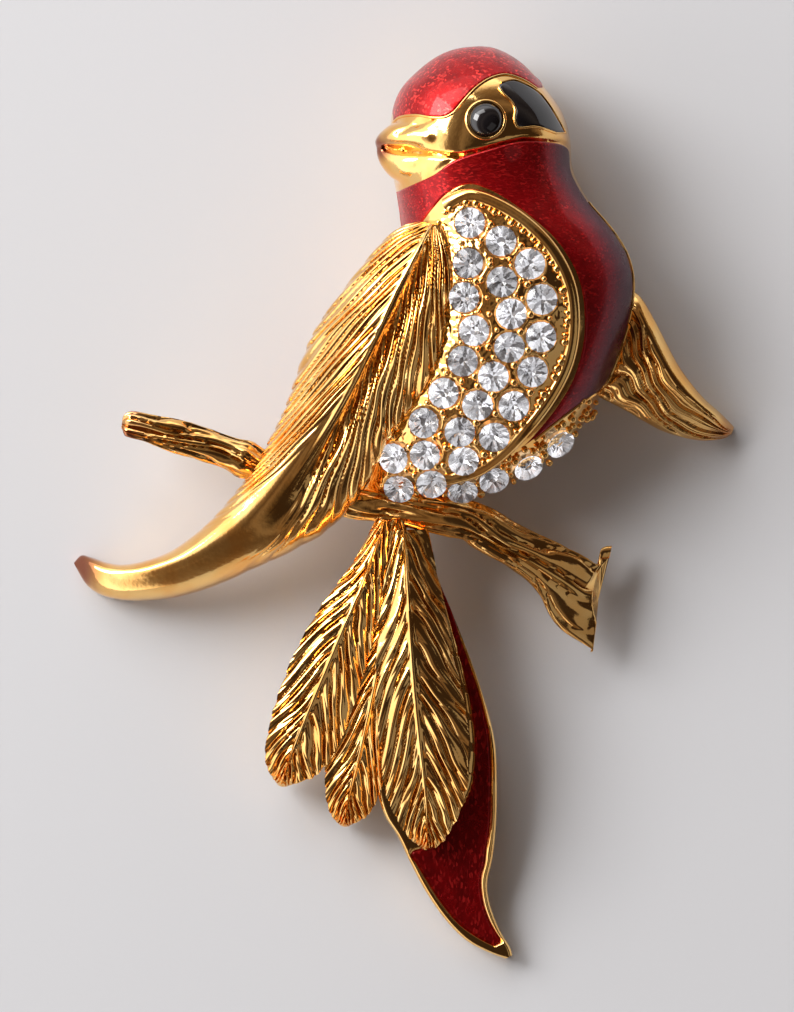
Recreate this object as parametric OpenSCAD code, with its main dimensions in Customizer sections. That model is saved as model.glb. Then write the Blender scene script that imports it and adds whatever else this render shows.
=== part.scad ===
// Bird brooch: a gold-plated casting with inlaid enamel, paste stones and a pin.
// It lies on its back: X across, Y towards the head, Z up from the table it lies on.

/* [Overall] */
// Length from the tip of the long tail feather to the crown
brooch_length = 75; // [70:0.5:90]
// Width from wing tip to wing tip
brooch_width = 54.4; // [51:0.2:64]

/* [Body] */
// Height of the breast above the flat back of the casting
body_height = 9; // [8:0.1:11]
// Upright edge round the back of the body
body_edge = 0.8; // [0.6:0.1:1.2]
// Wall left between the face of the body and its hollow back
body_wall = 2.4; // [2.2:0.1:3]
// Width of the eye
eye_d = 2.8; // [2.2:0.1:3.4]
// Height that the eye stands out of the face
eye_dome = 0.9; // [0.6:0.05:1.2]
// Width of the bezel round the eye
bezel_w = 0.3; // [0.2:0.05:0.5]

/* [Wings] */
// Height of the front wing's shoulder above the table
wing_height = 14.4; // [13.4:0.1:16]
// Thickness of the front wing at its edges
wing_edge = 1.2; // [1:0.1:1.6]
// Number of barbs on each side of the front wing
wing_barbs = 24; // [16:1:30]
// Height of the far wing's ridge above the table
far_wing_height = 7; // [6:0.1:8]
// Thickness of the far wing
far_wing_edge = 1.2; // [1:0.1:1.6]

/* [Tail] */
// Height of the gold feathers above the table at their highest
tail_height = 8.2; // [7.6:0.1:9]
// Thickness of the gold feathers at their edges
feather_edge = 2; // [1.6:0.1:2.4]
// Full width of the widest gold feather
feather_width = 7.6; // [6:0.1:8]
// Number of barbs on each side of a gold feather
feather_barbs = 16; // [10:1:20]
// Thickness of the long feather that carries the enamel
long_feather_t = 1.4; // [1.2:0.1:1.8]
// Depth of the grooves between barbs
barb_depth = 0.24; // [0.1:0.02:0.35]

/* [Branch] */
// Thickness of the branch where the bird sits
branch_d = 2.9; // [2.4:0.1:3.4]
// Depth of the furrows in the bark
bark_depth = 0.16; // [0.05:0.01:0.25]

/* [Stones] */
// Width of a paste stone at its girdle
stone_d = 2.5; // [2.2:0.05:2.7]
// Room between neighbouring stones
stone_gap = 0.15; // [0.12:0.01:0.3]
// Depth of a stone below its girdle
stone_depth = 1.05; // [0.9:0.05:1.2]
// Height of a stone's crown above its girdle
stone_crown = 0.42; // [0.3:0.02:0.5]
// Height of the stone ground above the body
ground_rise = 0.5; // [0.3:0.05:0.8]
// Width of the rim round the stone ground
rim_d = 0.8; // [0.6:0.05:1.1]
// Width of a grain between stones
grain_d = 0.9; // [0.7:0.05:1.1]

/* [Enamel] */
// Thickness of the enamel
enamel_t = 0.6; // [0.4:0.05:0.9]
// Clearance round whatever is set into the casting
seat_gap = 0.04; // [0.02:0.01:0.08]

/* [Pin] */
// Room behind the casting for the pin
pin_room = 3.6; // [3.2:0.1:4.2]
// Thickness of the pin's stem
stem_d = 0.9; // [0.7:0.05:1.2]
// Thickness of the hinge barrel and the catch
barrel_d = 2.2; // [1.8:0.1:2.6]
// Thickness of the plates soldered to the back
plate_t = 0.6; // [0.4:0.05:0.9]
// Length of each plate along the pin
plate_l = 3; // [2.6:0.1:3.4]

/* [Hidden] */
back_z = pin_room;
stone_pitch = stone_d + stone_gap;
// How square the arch across the body is, where 2 would make it an ellipse
body_squareness = 2.3;
// Share of the half width beyond which the face of the body is taken as level along a row
face_share = 0.985;

// Body sections from crown to belly, closer together at both ends.
// Columns: left edge and right edge in percent of the width, height as a share of the body's height.
body_sections = [
    [12.0, 12.0, 0.02],
    [7.8, 14.0, 0.30],
    [4.6, 16.6, 0.52],
    [2.1, 19.2, 0.72],
    [-0.5, 21.5, 0.88],
    [-1.8, 23.9, 0.97],
    [-2.1, 25.1, 1.00],
    [-1.8, 25.5, 0.97],
    [-0.9, 28.1, 0.98],
    [-0.3, 32.4, 1.04],
    [-0.6, 34.7, 1.08],
    [-0.9, 34.6, 1.08],
    [-1.8, 33.3, 1.06],
    [-3.0, 31.5, 1.02],
    [-4.2, 29.1, 0.96],
    [-5.1, 26.4, 0.87],
    [-5.4, 22.9, 0.74],
    [-5.8, 19.0, 0.61],
    [-5.8, 15.2, 0.49],
    [-4.0, 11.1, 0.34],
    [3.4, 3.4, 0.02]
];
// Where the sections start and end in percent of the length, and the share of a half turn left off
// each end so that it closes in a small flat
body_top = 50;
body_bottom = 0.7;
body_flat = 0.012;

// Upper and lower halves of the beak, from inside the head to the tip.
// Columns: place in percent of the width and length, half height in percent of the length,
// middle and half depth as shares of the body's height.
upper_beak = [
    [7.7, 39.9, 2.2, 0.60, 0.42],
    [3.9, 39.8, 2.1, 0.59, 0.40],
    [0.9, 40.0, 1.75, 0.57, 0.34],
    [-1.8, 40.0, 1.37, 0.55, 0.25],
    [-3.6, 39.6, 0.8, 0.53, 0.15],
    [-4.4, 39.3, 0.25, 0.52, 0.05]
];
lower_beak = [
    [5.4, 37.4, 1.60, 0.55, 0.36],
    [2.4, 37.2, 1.90, 0.53, 0.33],
    [-0.3, 37.1, 2.10, 0.50, 0.27],
    [-2.1, 37.4, 1.75, 0.48, 0.19],
    [-3.5, 38.0, 1.10, 0.47, 0.11],
    [-4.1, 38.4, 0.40, 0.47, 0.04]
];

// Front wing from shoulder to tip, a row for each sheaf of barbs.
// Columns: shaft, outer edge and inner edge in percent of the width and length,
// then the heights of shaft, outer edge and inner edge in percent of the wing's height.
wing_rows = [
    [4.2, 30.3, 2.0, 30.7, 6.0, 30.1, 90, 81, 87],
    [3.3, 29.1, -1.5, 29.6, 7.2, 25.8, 95, 80, 91],
    [2.6, 28.0, -5.7, 26.4, 6.3, 20.3, 99, 72, 93],
    [1.1, 25.8, -12.3, 20.1, 5.4, 16.6, 100, 60, 91],
    [-0.6, 23.4, -14.8, 16.6, 3.6, 13.2, 100, 57, 87],
    [-2.7, 20.1, -16.6, 12.9, 1.2, 10.6, 98, 54, 81],
    [-5.0, 16.7, -18.2, 9.8, -1.1, 8.3, 95, 52, 76],
    [-7.5, 13.0, -20.2, 7.0, -2.9, 6.2, 90, 50, 71],
    [-10.2, 9.5, -22.1, 4.3, -5.0, 2.9, 84, 47, 64],
    [-13.4, 6.1, -24.7, 1.8, -7.8, -0.1, 77, 44, 55],
    [-17.0, 2.9, -27.6, -0.7, -11.9, -3.1, 69, 40, 46],
    [-21.4, 0.0, -30.9, -3.0, -17.2, -5.3, 60, 34, 38],
    [-25.9, -2.5, -35.2, -5.2, -22.9, -7.2, 51, 26, 29],
    [-31.3, -4.8, -39.3, -6.3, -28.5, -9.0, 43, 20, 22],
    [-36.7, -6.4, -42.5, -6.7, -34.5, -10.3, 36, 15, 16],
    [-42.0, -7.4, -44.9, -6.5, -40.8, -10.7, 29, 12, 12],
    [-46.1, -7.4, -47.4, -5.9, -45.3, -10.2, 23, 10, 10],
    [-48.6, -7.0, -48.9, -5.7, -48.0, -9.0, 15, 8, 8],
    [-49.9, -6.7, -50.0, -6.5, -49.8, -6.9, 9, 7, 7]
];
// Share of the wing that carries barbs, and the rows on the smooth rest of it
wing_barbs_end = 0.62;
wing_plain_rows = 12;
// Places across a blade, from its right-hand edge over the shaft to its left-hand edge, and the
// power by which the blade falls away from the shaft
blade_places = [-1, -0.6, -0.15, 0, 0.15, 0.6, 1];
blade_fall = 1.8;
// How quickly barbs fade towards the end of their run, and the share of their depth that is left
barb_fade = 6;
barb_least = 0.2;
// Steepness with which a barb rises beside the shaft
barb_rise = 4;

// Far wing from root to tip. Columns: lower edge, ridge and upper edge in percent of the width and
// length, then the heights of ridge, lower edge and upper edge in percent of the far wing's height.
far_wing_rows = [
    [28.0, 13.0, 32.5, 22.3, 33.7, 23.6, 90, 62, 80],
    [29.5, 11.7, 35.2, 20.7, 35.7, 22.5, 100, 66, 86],
    [31.3, 11.0, 36.7, 18.2, 37.8, 20.0, 100, 66, 84],
    [33.7, 10.1, 38.1, 16.1, 39.6, 17.5, 98, 62, 80],
    [36.3, 9.0, 39.6, 14.2, 41.4, 15.1, 93, 56, 74],
    [38.9, 8.0, 41.4, 12.4, 43.4, 13.1, 84, 48, 65],
    [41.9, 7.3, 44.0, 10.9, 45.5, 11.4, 72, 38, 53],
    [45.2, 6.9, 46.7, 9.5, 47.6, 10.1, 56, 29, 40],
    [48.2, 7.1, 48.6, 8.4, 49.2, 9.0, 38, 21, 27],
    [49.6, 7.6, 49.8, 8.0, 50.0, 8.4, 22, 17, 18]
];
far_wing_flutes = 4;
far_wing_curve = 0.7;

// Gold feathers of the tail from root to tip. Columns: shaft in percent of the width and length,
// reach to the left and to the right as shares of the widest feather's width, height of the shaft
// as a share of the tail's height.
left_feather = [
    [-2.9, -1.8, 0.09, 0.13, 0.88],
    [-5.3, -7.0, 0.18, 0.22, 0.90],
    [-8.6, -12.8, 0.32, 0.32, 0.87],
    [-11.9, -18.5, 0.38, 0.40, 0.78],
    [-15.1, -24.0, 0.35, 0.43, 0.66],
    [-17.6, -28.6, 0.25, 0.33, 0.55],
    [-18.5, -31.0, 0.04, 0.04, 0.48]
];
middle_feather = [
    [-1.1, -1.8, 0.10, 0.10, 0.87],
    [-1.9, -9.0, 0.18, 0.18, 0.83],
    [-3.4, -16.0, 0.27, 0.27, 0.77],
    [-5.3, -23.0, 0.33, 0.32, 0.68],
    [-7.4, -29.5, 0.32, 0.32, 0.58],
    [-8.7, -33.6, 0.20, 0.24, 0.50],
    [-9.0, -35.4, 0.04, 0.04, 0.46]
];
top_feather = [
    [0.0, -2.9, 0.15, 0.25, 0.92],
    [0.6, -10.0, 0.28, 0.36, 1.00],
    [1.3, -17.5, 0.39, 0.45, 0.99],
    [2.2, -24.5, 0.43, 0.52, 0.91],
    [3.2, -31.5, 0.41, 0.44, 0.79],
    [3.5, -36.2, 0.22, 0.22, 0.68],
    [3.3, -37.9, 0.04, 0.04, 0.62]
];
// Share of a feather's length by which a barb runs ahead of its root
barb_sweep = 0.17;
// Drop from a feather's shaft to its edges
feather_droop = 0.8;
// Share of a feather that carries barbs
feather_barbs_end = 0.97;

// Long feather from root to tip. Columns: left edge and right edge in percent of the width and length.
long_feather = [
    [-2.4, -4.0, 3.0, -4.0],
    [-3.0, -9.4, 5.7, -9.2],
    [-3.6, -14.9, 8.9, -14.9],
    [-3.9, -20.3, 11.6, -20.3],
    [-4.1, -25.8, 13.6, -25.7],
    [-4.1, -30.7, 14.0, -30.7],
    [-3.0, -34.0, 13.9, -35.1],
    [-0.9, -36.5, 13.4, -38.7],
    [1.2, -39.7, 12.6, -41.5],
    [3.5, -42.8, 12.9, -43.7],
    [6.3, -45.7, 13.9, -45.9],
    [9.3, -47.9, 14.9, -47.4],
    [12.5, -49.2, 16.0, -48.7],
    [15.4, -50.0, 16.4, -49.6]
];
// Height of the long feather at its root, and how its face curves down to the tip
long_feather_root = 6.2;
long_feather_curve = 1.7;

// Enamel fields. Columns: a point on one edge and the point across from it, in percent.
crown_field = [
    [-0.9, 41.8, -0.9, 42.6],
    [-0.1, 42.2, -0.6, 44.0],
    [1.8, 42.2, 0.5, 45.6],
    [4.1, 41.9, 2.7, 47.1],
    [6.0, 41.9, 5.2, 48.4],
    [7.4, 42.4, 7.8, 49.2],
    [8.6, 43.4, 10.5, 49.5],
    [9.9, 44.5, 13.0, 49.4],
    [11.4, 45.5, 15.1, 48.8],
    [13.3, 46.3, 17.1, 47.9],
    [15.4, 46.6, 18.8, 46.8],
    [17.8, 46.1, 19.9, 46.2],
    [19.9, 45.2, 20.7, 45.3]
];
breast_field = [
    [0.2, 30.8, -0.3, 33.7],
    [1.8, 31.1, 1.8, 34.6],
    [4.2, 31.9, 4.5, 35.6],
    [6.5, 33.6, 7.2, 37.0],
    [9.6, 34.6, 11.7, 38.1],
    [12.7, 34.0, 16.9, 39.1],
    [15.2, 33.0, 21.2, 39.2],
    [17.8, 31.7, 24.5, 38.6],
    [20.2, 30.3, 25.1, 35.9],
    [22.3, 28.9, 27.4, 32.9],
    [24.1, 27.2, 30.8, 30.0],
    [25.7, 25.1, 33.3, 27.1],
    [26.7, 22.5, 34.2, 23.9],
    [27.0, 19.5, 33.7, 20.3],
    [26.6, 16.6, 32.3, 16.8],
    [25.2, 13.3, 29.9, 12.9],
    [22.8, 10.4, 26.5, 11.0],
    [19.7, 7.6, 22.9, 9.0],
    [17.4, 5.9, 19.3, 6.9]
];
mask_field = [
    [14.2, 45.2, 14.3, 45.6],
    [15.1, 44.4, 16.3, 46.0],
    [16.1, 43.7, 18.4, 45.5],
    [16.7, 42.8, 20.2, 44.7],
    [16.6, 41.7, 21.5, 43.6],
    [17.3, 40.8, 22.6, 42.4],
    [19.9, 40.9, 23.5, 41.3],
    [22.9, 40.3, 24.2, 40.4]
];
tail_field = [
    [5.0, -8.3, 5.4, -8.8],
    [6.6, -11.8, 7.3, -12.0],
    [7.7, -14.9, 8.6, -14.9],
    [8.8, -17.9, 10.0, -17.7],
    [9.9, -21.4, 11.4, -21.1],
    [10.6, -25.3, 12.7, -24.9],
    [10.6, -28.5, 13.1, -28.5],
    [9.6, -32.1, 13.1, -31.8],
    [7.2, -36.4, 13.0, -35.2],
    [2.9, -38.9, 12.3, -38.7],
    [3.6, -41.1, 11.6, -41.3],
    [5.6, -43.6, 11.9, -43.7],
    [8.3, -46.0, 12.8, -45.7],
    [11.1, -47.5, 13.9, -47.2],
    [13.7, -48.5, 14.8, -48.1]
];

// Steps along and across each field
crown_grid = [14, 5];
breast_grid = [22, 4];
mask_grid = [9, 3];
tail_grid = [16, 2];
ground_grid = [13, 5];

// Stone ground. Columns: a point under the wing and the point across from it on the rim, in percent.
ground_field = [
    [4.8, 30.3, 6.2, 32.4],
    [5.0, 28.8, 9.9, 33.5],
    [5.0, 27.2, 14.5, 32.4],
    [4.7, 25.0, 19.0, 30.2],
    [4.2, 22.6, 22.7, 27.3],
    [3.6, 20.1, 25.2, 23.6],
    [2.7, 17.6, 25.8, 19.5],
    [1.7, 15.2, 25.0, 15.6],
    [0.5, 12.8, 22.7, 12.0],
    [-0.8, 10.5, 19.4, 8.7],
    [-2.0, 8.1, 15.2, 5.5],
    [-3.0, 5.7, 11.4, 3.6],
    [-3.6, 3.7, 7.7, 2.8],
    [-3.3, 1.8, 5.4, 2.6]
];

// Share of the ground's rows that the rim follows
rim_share = 0.946;

// Stones charted by hand, in stone pitches right of and above the middle of the stone ground
stones = [
    [-0.62, 3.70], [0.31, 3.13], [1.18, 2.43], [-0.67, 2.46], [0.34, 1.89],
    [1.54, 1.36], [-0.79, 1.42], [0.62, 0.92], [-0.50, 0.40], [1.51, 0.22],
    [0.56, -0.10], [-0.84, -0.53], [1.25, -0.84], [0.07, -0.99], [-1.42, -1.50],
    [-0.41, -1.86], [0.68, -1.87], [-2.02, -2.40], [-0.95, -2.66], [0.09, -2.80],
    [-2.00, -3.36], [-0.84, -3.53], [-2.93, -3.48], [-1.82, -4.22], [-2.80, -4.36],
    [-0.86, -4.52], [0.10, -4.17], [1.17, -3.78], [2.15, -3.06]
];
ground_middle = [13.0, 17.3];
// How many of them, the last ones charted, are set in the belly beyond the ground, and how high
belly_stones = 4;
belly_lift = 0.12;
// Farthest apart that stones with a grain between them stand, in stone pitches
grain_reach = 1.2;
// How far a stone on the flank leans back towards the viewer
stone_lean = 0.6;
// Widths of a stone's table and of its point as shares of its girdle
stone_table = 0.56;
stone_point = 0.1;
stone_sides = 12;
// Width of a grain's top as a share of its foot, and its height and root as shares of its full width
grain_top = 0.5;
grain_height = 0.35;
grain_root = 0.3;

// Branch from the broken tip on the left to the flared end on the right.
// Columns: middle in percent of the width and length, half width and half depth as shares of the
// branch's thickness, height of the middle as a share of the wing's height.
branch_rows = [
    [-42.5, 8.8, 0.15, 0.15, 0.40],
    [-41.5, 8.7, 0.38, 0.36, 0.40],
    [-38.3, 8.2, 0.42, 0.42, 0.40],
    [-34.0, 7.3, 0.49, 0.45, 0.40],
    [-30.0, 6.4, 0.48, 0.46, 0.39],
    [-25.9, 5.4, 0.47, 0.47, 0.38],
    [-21.4, 4.1, 0.48, 0.47, 0.37],
    [-15.7, 2.4, 0.49, 0.48, 0.37],
    [-8.9, 0.4, 0.49, 0.50, 0.38],
    [-2.1, -0.3, 0.50, 0.52, 0.41],
    [3.9, -1.1, 0.54, 0.55, 0.43],
    [9.9, -2.0, 0.62, 0.56, 0.43],
    [15.2, -4.1, 0.62, 0.54, 0.41],
    [19.7, -5.9, 0.66, 0.50, 0.37],
    [23.5, -7.8, 0.84, 0.44, 0.32],
    [26.9, -10.0, 1.16, 0.38, 0.26],
    [29.8, -10.5, 1.56, 0.32, 0.20]
];
// Scoop that leaves the flared end of the branch broken off hollow: how far its middle lies beyond the
// branch's end along the width, and its radius, as shares of the branch's thickness
scoop_reach = 1.5;
scoop_r = 1.75;

// Place of the eye in percent of the width and length
eye_place = [12.2, 41.6];
// Hollow of the back: its ends in percent of the length
hollow_top = 31;
hollow_bottom = 7;
// How it rounds off: degrees left off its ends, powers along and across, and the rise of its sides
hollow_ends = 8;
hollow_round = 0.5;
hollow_arch = 0.7;
hollow_side = 0.1;
// Pin: its hinge and its catch in percent of the width and length
hinge_place = [11.6, 34.4];
catch_place = [4.8, 3.2];
// Lengths of the barrel, the plates' width and the posts' width as shares of the barrel's thickness
barrel_share = 1.2;
plate_share = 1.4;
post_share = 0.7;

function stone_name(k) = str("stone_", k < 10 ? "0" : "", k);
function at(x, y) = [x * brooch_width / 100, y * brooch_length / 100];
function unit(v) = v / norm(v);
function mix(a, b, t) = a + (b - a) * t;
function clamp(x, low, high) = min(max(x, low), high);

// Smooth curve through four values, from the second to the third
function bend(a, b, c, d, t) =
    (2 * b + (c - a) * t + (2 * a - 5 * b + 4 * c - d) * t * t + (3 * b - a - 3 * c + d) * t * t * t) / 2;

// Row of a table at share t of the way through it
function along(table, t) =
    let (last = len(table) - 1, k = min(floor(t * last), last - 1))
    bend(table[max(k - 1, 0)], table[k], table[k + 1], table[min(k + 2, last)], t * last - k);

// Closed skin over rings of points. Each ring starts on the right of the way that the rings go,
// runs over the top to the left and comes back beneath.
module skin(rings) {
    n = len(rings[0]);
    last = len(rings) - 1;
    polyhedron(
        points = [for (ring = rings) each ring],
        faces = concat(
            [
                for (i = [0:last - 1], j = [0:n - 1])
                    let (a = i * n + j, b = i * n + (j + 1) % n)
                    each [[a, b, a + n], [b, b + n, a + n]]
            ],
            end_cap(n, 0, true),
            end_cap(n, last * n, false)
        )
    );
}

// Triangles across a ring, laddered from its two sides
function end_cap(n, first, flip) = [
    for (s = [0:n - 3])
        let (
            low = first + ceil(s / 2),
            high = first + n - 1 - ceil(s / 2),
            face = s % 2 == 0 ? [low, low + 1, high] : [low, high, high + 1]
        )
        flip ? [face[2], face[1], face[0]] : face
];

// Section of the body at height y on the page: left edge, right edge, rise
function body_section(y) =
    let (
        top = body_top * brooch_length / 100,
        bottom = body_bottom * brooch_length / 100,
        t = acos(clamp(1 - 2 * (top - y) / (top - bottom), -0.999, 0.999)) / 180,
        row = along(body_sections, t)
    )
    [row[0] * brooch_width / 100, row[1] * brooch_width / 100, row[2] * body_height];

// Face of the body above the table
body_face = function (x, y)
    let (
        row = body_section(y),
        middle = (row[0] + row[1]) / 2,
        half = (row[1] - row[0]) / 2,
        u = min(abs(x - middle) / half, face_share)
    )
    back_z + body_edge + row[2] * pow(1 - pow(u, body_squareness), 1 / body_squareness);

// Face of the long tail feather above the table
long_feather_face = function (x, y)
    let (t = clamp(-y / (brooch_length / 2), 0, 1))
    mix(long_feather_root, long_feather_t, pow(t, long_feather_curve));

function on_face(face, p) = [p[0], p[1], face(p[0], p[1])];
function face_normal(face, p) =
    let (
        e = 0.05,
        dx = face(p[0] + e, p[1]) - face(p[0] - e, p[1]),
        dy = face(p[0], p[1] + e) - face(p[0], p[1] - e)
    )
    unit([-dx, -dy, 2 * e]);

// Rings of a field laid over a face, from up above it to down below it, and grown all round
function field_rings(field, face, grid, up, down, grow) = [
    for (i = [0:grid[0]])
        let (
            steps = grid[0],
            columns = grid[1],
            row = along(field, i / steps),
            before = along(field, max(i - 1, 0) / steps),
            after = along(field, min(i + 1, steps) / steps),
            a = at(row[0], row[1]),
            b = at(row[2], row[3]),
            run = after - before,
            shift = unit(at(run[0] + run[2], run[1] + run[3])) * grow * (i == 0 ? -1 : i == steps ? 1 : 0),
            side = unit(b - a) * grow,
            points = [for (j = [0:columns]) mix(a - side, b + side, j / columns) + shift]
        )
        concat(
            [for (p = points) on_face(face, p) + [0, 0, up]],
            [for (j = [columns:-1:0]) on_face(face, points[j]) - [0, 0, down]]
        )
];

module enamel(field, face, grid) {
    skin(field_rings(field, face, grid, 0, enamel_t, 0));
}

module enamel_seat(field, face, grid) {
    skin(field_rings(field, face, grid, enamel_t, enamel_t + seat_gap, seat_gap));
}

// Stands a child on the face of the body, upright to it, or leaning back from it towards the viewer
module stand_on_body(p, lift, lean = 0) {
    n = unit(face_normal(body_face, p) + [0, 0, lean]);
    translate(on_face(body_face, p) + n * lift)
        rotate([0, acos(n[2]), atan2(n[1], n[0])])
            children();
}

// Solid body of the bird
module torso(steps = 30, columns = 16) {
    top = body_top * brooch_length / 100;
    bottom = body_bottom * brooch_length / 100;
    skin([
        for (i = [0:steps])
            let (
                turn = 180 * clamp(i / steps, body_flat, 1 - body_flat),
                y = mix(top, bottom, (1 - cos(turn)) / 2),
                row = body_section(y),
                middle = (row[0] + row[1]) / 2,
                half = (row[1] - row[0]) / 2
            )
            concat(
                [
                    for (j = [0:columns])
                        let (
                            c = cos(180 * j / columns),
                            s = sin(180 * j / columns),
                            k = 2 / body_squareness
                        )
                        [
                            middle - half * sign(c) * pow(abs(c), k),
                            y,
                            back_z + body_edge + row[2] * pow(max(s, 0), k)
                        ]
                ],
                [[row[1], y, back_z], [row[0], y, back_z]]
            )
    ]);
}

// Hollow in the back, a wall inside the body
module hollow(steps = 10, columns = 6) {
    skin([
        for (i = [0:steps])
            let (
                t = i / steps,
                y = mix(hollow_top, hollow_bottom, t) * brooch_length / 100,
                row = body_section(y),
                middle = (row[0] + row[1]) / 2,
                round_end = pow(sin(mix(hollow_ends, 180 - hollow_ends, t)), hollow_round),
                half = ((row[1] - row[0]) / 2 - body_wall) * round_end,
                rise = (row[2] + body_edge - body_wall) * round_end
            )
            concat(
                [
                    for (j = [0:columns])
                        let (
                            c = cos(180 * j / columns),
                            s = sin(180 * j / columns),
                            share = mix(hollow_side, 1, pow(max(s, 0), hollow_arch))
                        )
                        [middle - half * c, y, back_z + rise * share]
                ],
                [[middle + half, y, back_z - body_wall], [middle - half, y, back_z - body_wall]]
            )
    ]);
}

// Half of the beak
module beak(rows, steps = 7, sides = 8) {
    skin([
        for (i = [0:steps])
            let (row = along(rows, i / steps), middle = at(row[0], row[1]))
            [
                for (j = [0:sides - 1])
                    let (turn = 360 * j / sides)
                    [
                        middle[0],
                        middle[1] + row[2] * brooch_length / 100 * cos(turn),
                        back_z + body_height * (row[3] + row[4] * sin(turn))
                    ]
            ]
    ]);
}

// Rings of a feathered blade. Each row holds shaft, right-hand edge and left-hand edge as seen along
// the way to the tip, then their three heights. Barbs cover the first part of the rows.
function blade_rings(rows, barbs, barbs_end, plain_steps, edge_t) = [
    for (i = [0:2 * barbs + plain_steps])
        let (
            t = i <= 2 * barbs
                ? barbs_end * i / (2 * barbs)
                : mix(barbs_end, 1, (i - 2 * barbs) / plain_steps),
            row = along(rows, t),
            fade = clamp(barb_fade * (1 - t / barbs_end), barb_least, 1),
            ridge = i % 2 == 1 && i < 2 * barbs ? barb_depth * fade : 0,
            shaft = [row[0], row[1]],
            one = [row[2], row[3]],
            other = [row[4], row[5]]
        )
        concat(
            [
                for (u = blade_places)
                    let (
                        p = mix(shaft, u < 0 ? one : other, abs(u)),
                        edge_z = u < 0 ? row[7] : row[8],
                        z = mix(row[6], edge_z, pow(abs(u), blade_fall)),
                        spine = u == 0 ? barb_depth : 0
                    )
                    [p[0], p[1], z + spine + ridge * clamp(barb_rise * abs(u), 0, 1)]
            ],
            [
                [other[0], other[1], max(row[8] - edge_t, 0)],
                [one[0], one[1], max(row[7] - edge_t, 0)]
            ]
        )
];

// Wing rows brought to millimetres
function wing_mm(rows, height) = [
    for (r = rows)
        concat(at(r[0], r[1]), at(r[2], r[3]), at(r[4], r[5]), [r[6], r[7], r[8]] * height / 100)
];

module front_wing() {
    rows = wing_mm(wing_rows, wing_height);
    skin(blade_rings(rows, wing_barbs, wing_barbs_end, wing_plain_rows, wing_edge));
}

// Rows of a tail feather, worked out from its shaft and its reach to both sides
function feather_mm(table, rows = 12) = [
    for (i = [0:rows])
        let (
            t = i / rows,
            ahead = t + barb_sweep * 4 * t * (1 - t),
            here = along(table, t),
            there = along(table, ahead),
            next = along(table, min(ahead + 0.02, 1)),
            last = along(table, max(ahead - 0.02, 0)),
            way = unit(at(next[0] - last[0], next[1] - last[1])),
            across = [way[1], -way[0]],
            shaft = at(here[0], here[1]),
            root = at(there[0], there[1]),
            z = here[4] * tail_height
        )
        concat(
            shaft,
            root + across * there[2] * feather_width,
            root - across * there[3] * feather_width,
            [z, z - feather_droop, z - feather_droop]
        )
];

module feather(table) {
    skin(blade_rings(feather_mm(table), feather_barbs, feather_barbs_end, 1, feather_edge));
}

module long_feather_plate(steps = 20) {
    skin([
        for (i = [0:steps])
            let (
                row = along(long_feather, i / steps),
                a = on_face(long_feather_face, at(row[0], row[1])),
                b = on_face(long_feather_face, at(row[2], row[3])),
                down = [0, 0, long_feather_t]
            )
            [a, b, b - down, a - down]
    ]);
}

module far_wing(steps = 12) {
    rows = far_wing_rows;
    skin([
        for (i = [0:steps])
            let (
                row = along(rows, i / steps),
                low = at(row[0], row[1]),
                ridge = at(row[2], row[3]),
                high = at(row[4], row[5]),
                z = [row[6], row[7], row[8]] * far_wing_height / 100,
                flute = barb_depth * sin(180 * i / steps),
                under = max(min(z[1], z[2]) - far_wing_edge, 0)
            )
            concat(
                [
                    for (j = [0:2 * far_wing_flutes])
                        let (u = j / (2 * far_wing_flutes), p = mix(low, ridge, u))
                        [p[0], p[1], mix(z[1], z[0], pow(u, far_wing_curve)) + (j % 2 == 1 ? flute : 0)]
                ],
                [
                    [high[0], high[1], z[2]],
                    [high[0], high[1], max(z[2] - far_wing_edge, 0)],
                    [ridge[0], ridge[1], under],
                    [low[0], low[1], max(z[1] - far_wing_edge, 0)]
                ]
            )
    ]);
}

module branch(steps = 26, sides = 8) {
    end = branch_rows[len(branch_rows) - 1];
    difference() {
        skin([
            for (i = [0:steps])
                let (
                    row = along(branch_rows, i / steps),
                    before = along(branch_rows, max(i - 1, 0) / steps),
                    after = along(branch_rows, min(i + 1, steps) / steps),
                    way = unit(at(after[0] - before[0], after[1] - before[1])),
                    middle = at(row[0], row[1]),
                    z = row[4] * wing_height
                )
                [
                    for (j = [0:sides - 1])
                        let (
                            turn = 360 * j / sides,
                            furrow = j % 2 == 0 ? 0 : bark_depth * (1 + sin(i * 67 + j * 50)),
                            wide = row[2] * branch_d - furrow,
                            deep = row[3] * branch_d - furrow,
                            side = [way[1], -way[0]] * wide * cos(turn)
                        )
                        [middle[0] + side[0], middle[1] + side[1], z + deep * sin(turn)]
                ]
        ]);
        translate(concat(at(end[0], end[1]) + [branch_d * scoop_reach, 0], [0]))
            cylinder(h = 2 * wing_height, r = branch_d * scoop_r, center = true);
    }
}

// Rim of the stone ground, a wire laid over the body
module rim(steps = 16) {
    for (i = [0:steps - 1])
        hull()
            for (k = [i, i + 1])
                let (row = along(ground_field, k / steps * rim_share))
                translate(on_face(body_face, at(row[2], row[3])) + [0, 0, ground_rise])
                    sphere(d = rim_d, $fn = 6);
}

module stone_ground() {
    skin(field_rings(ground_field, body_face, ground_grid, ground_rise, 2 * ground_rise, 0));
    rim();
    grains();
}

function stone_place(k) = at(ground_middle[0], ground_middle[1]) + stones[k] * stone_pitch;
function stone_lift(k) = k < len(stones) - belly_stones ? ground_rise : belly_lift;

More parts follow.
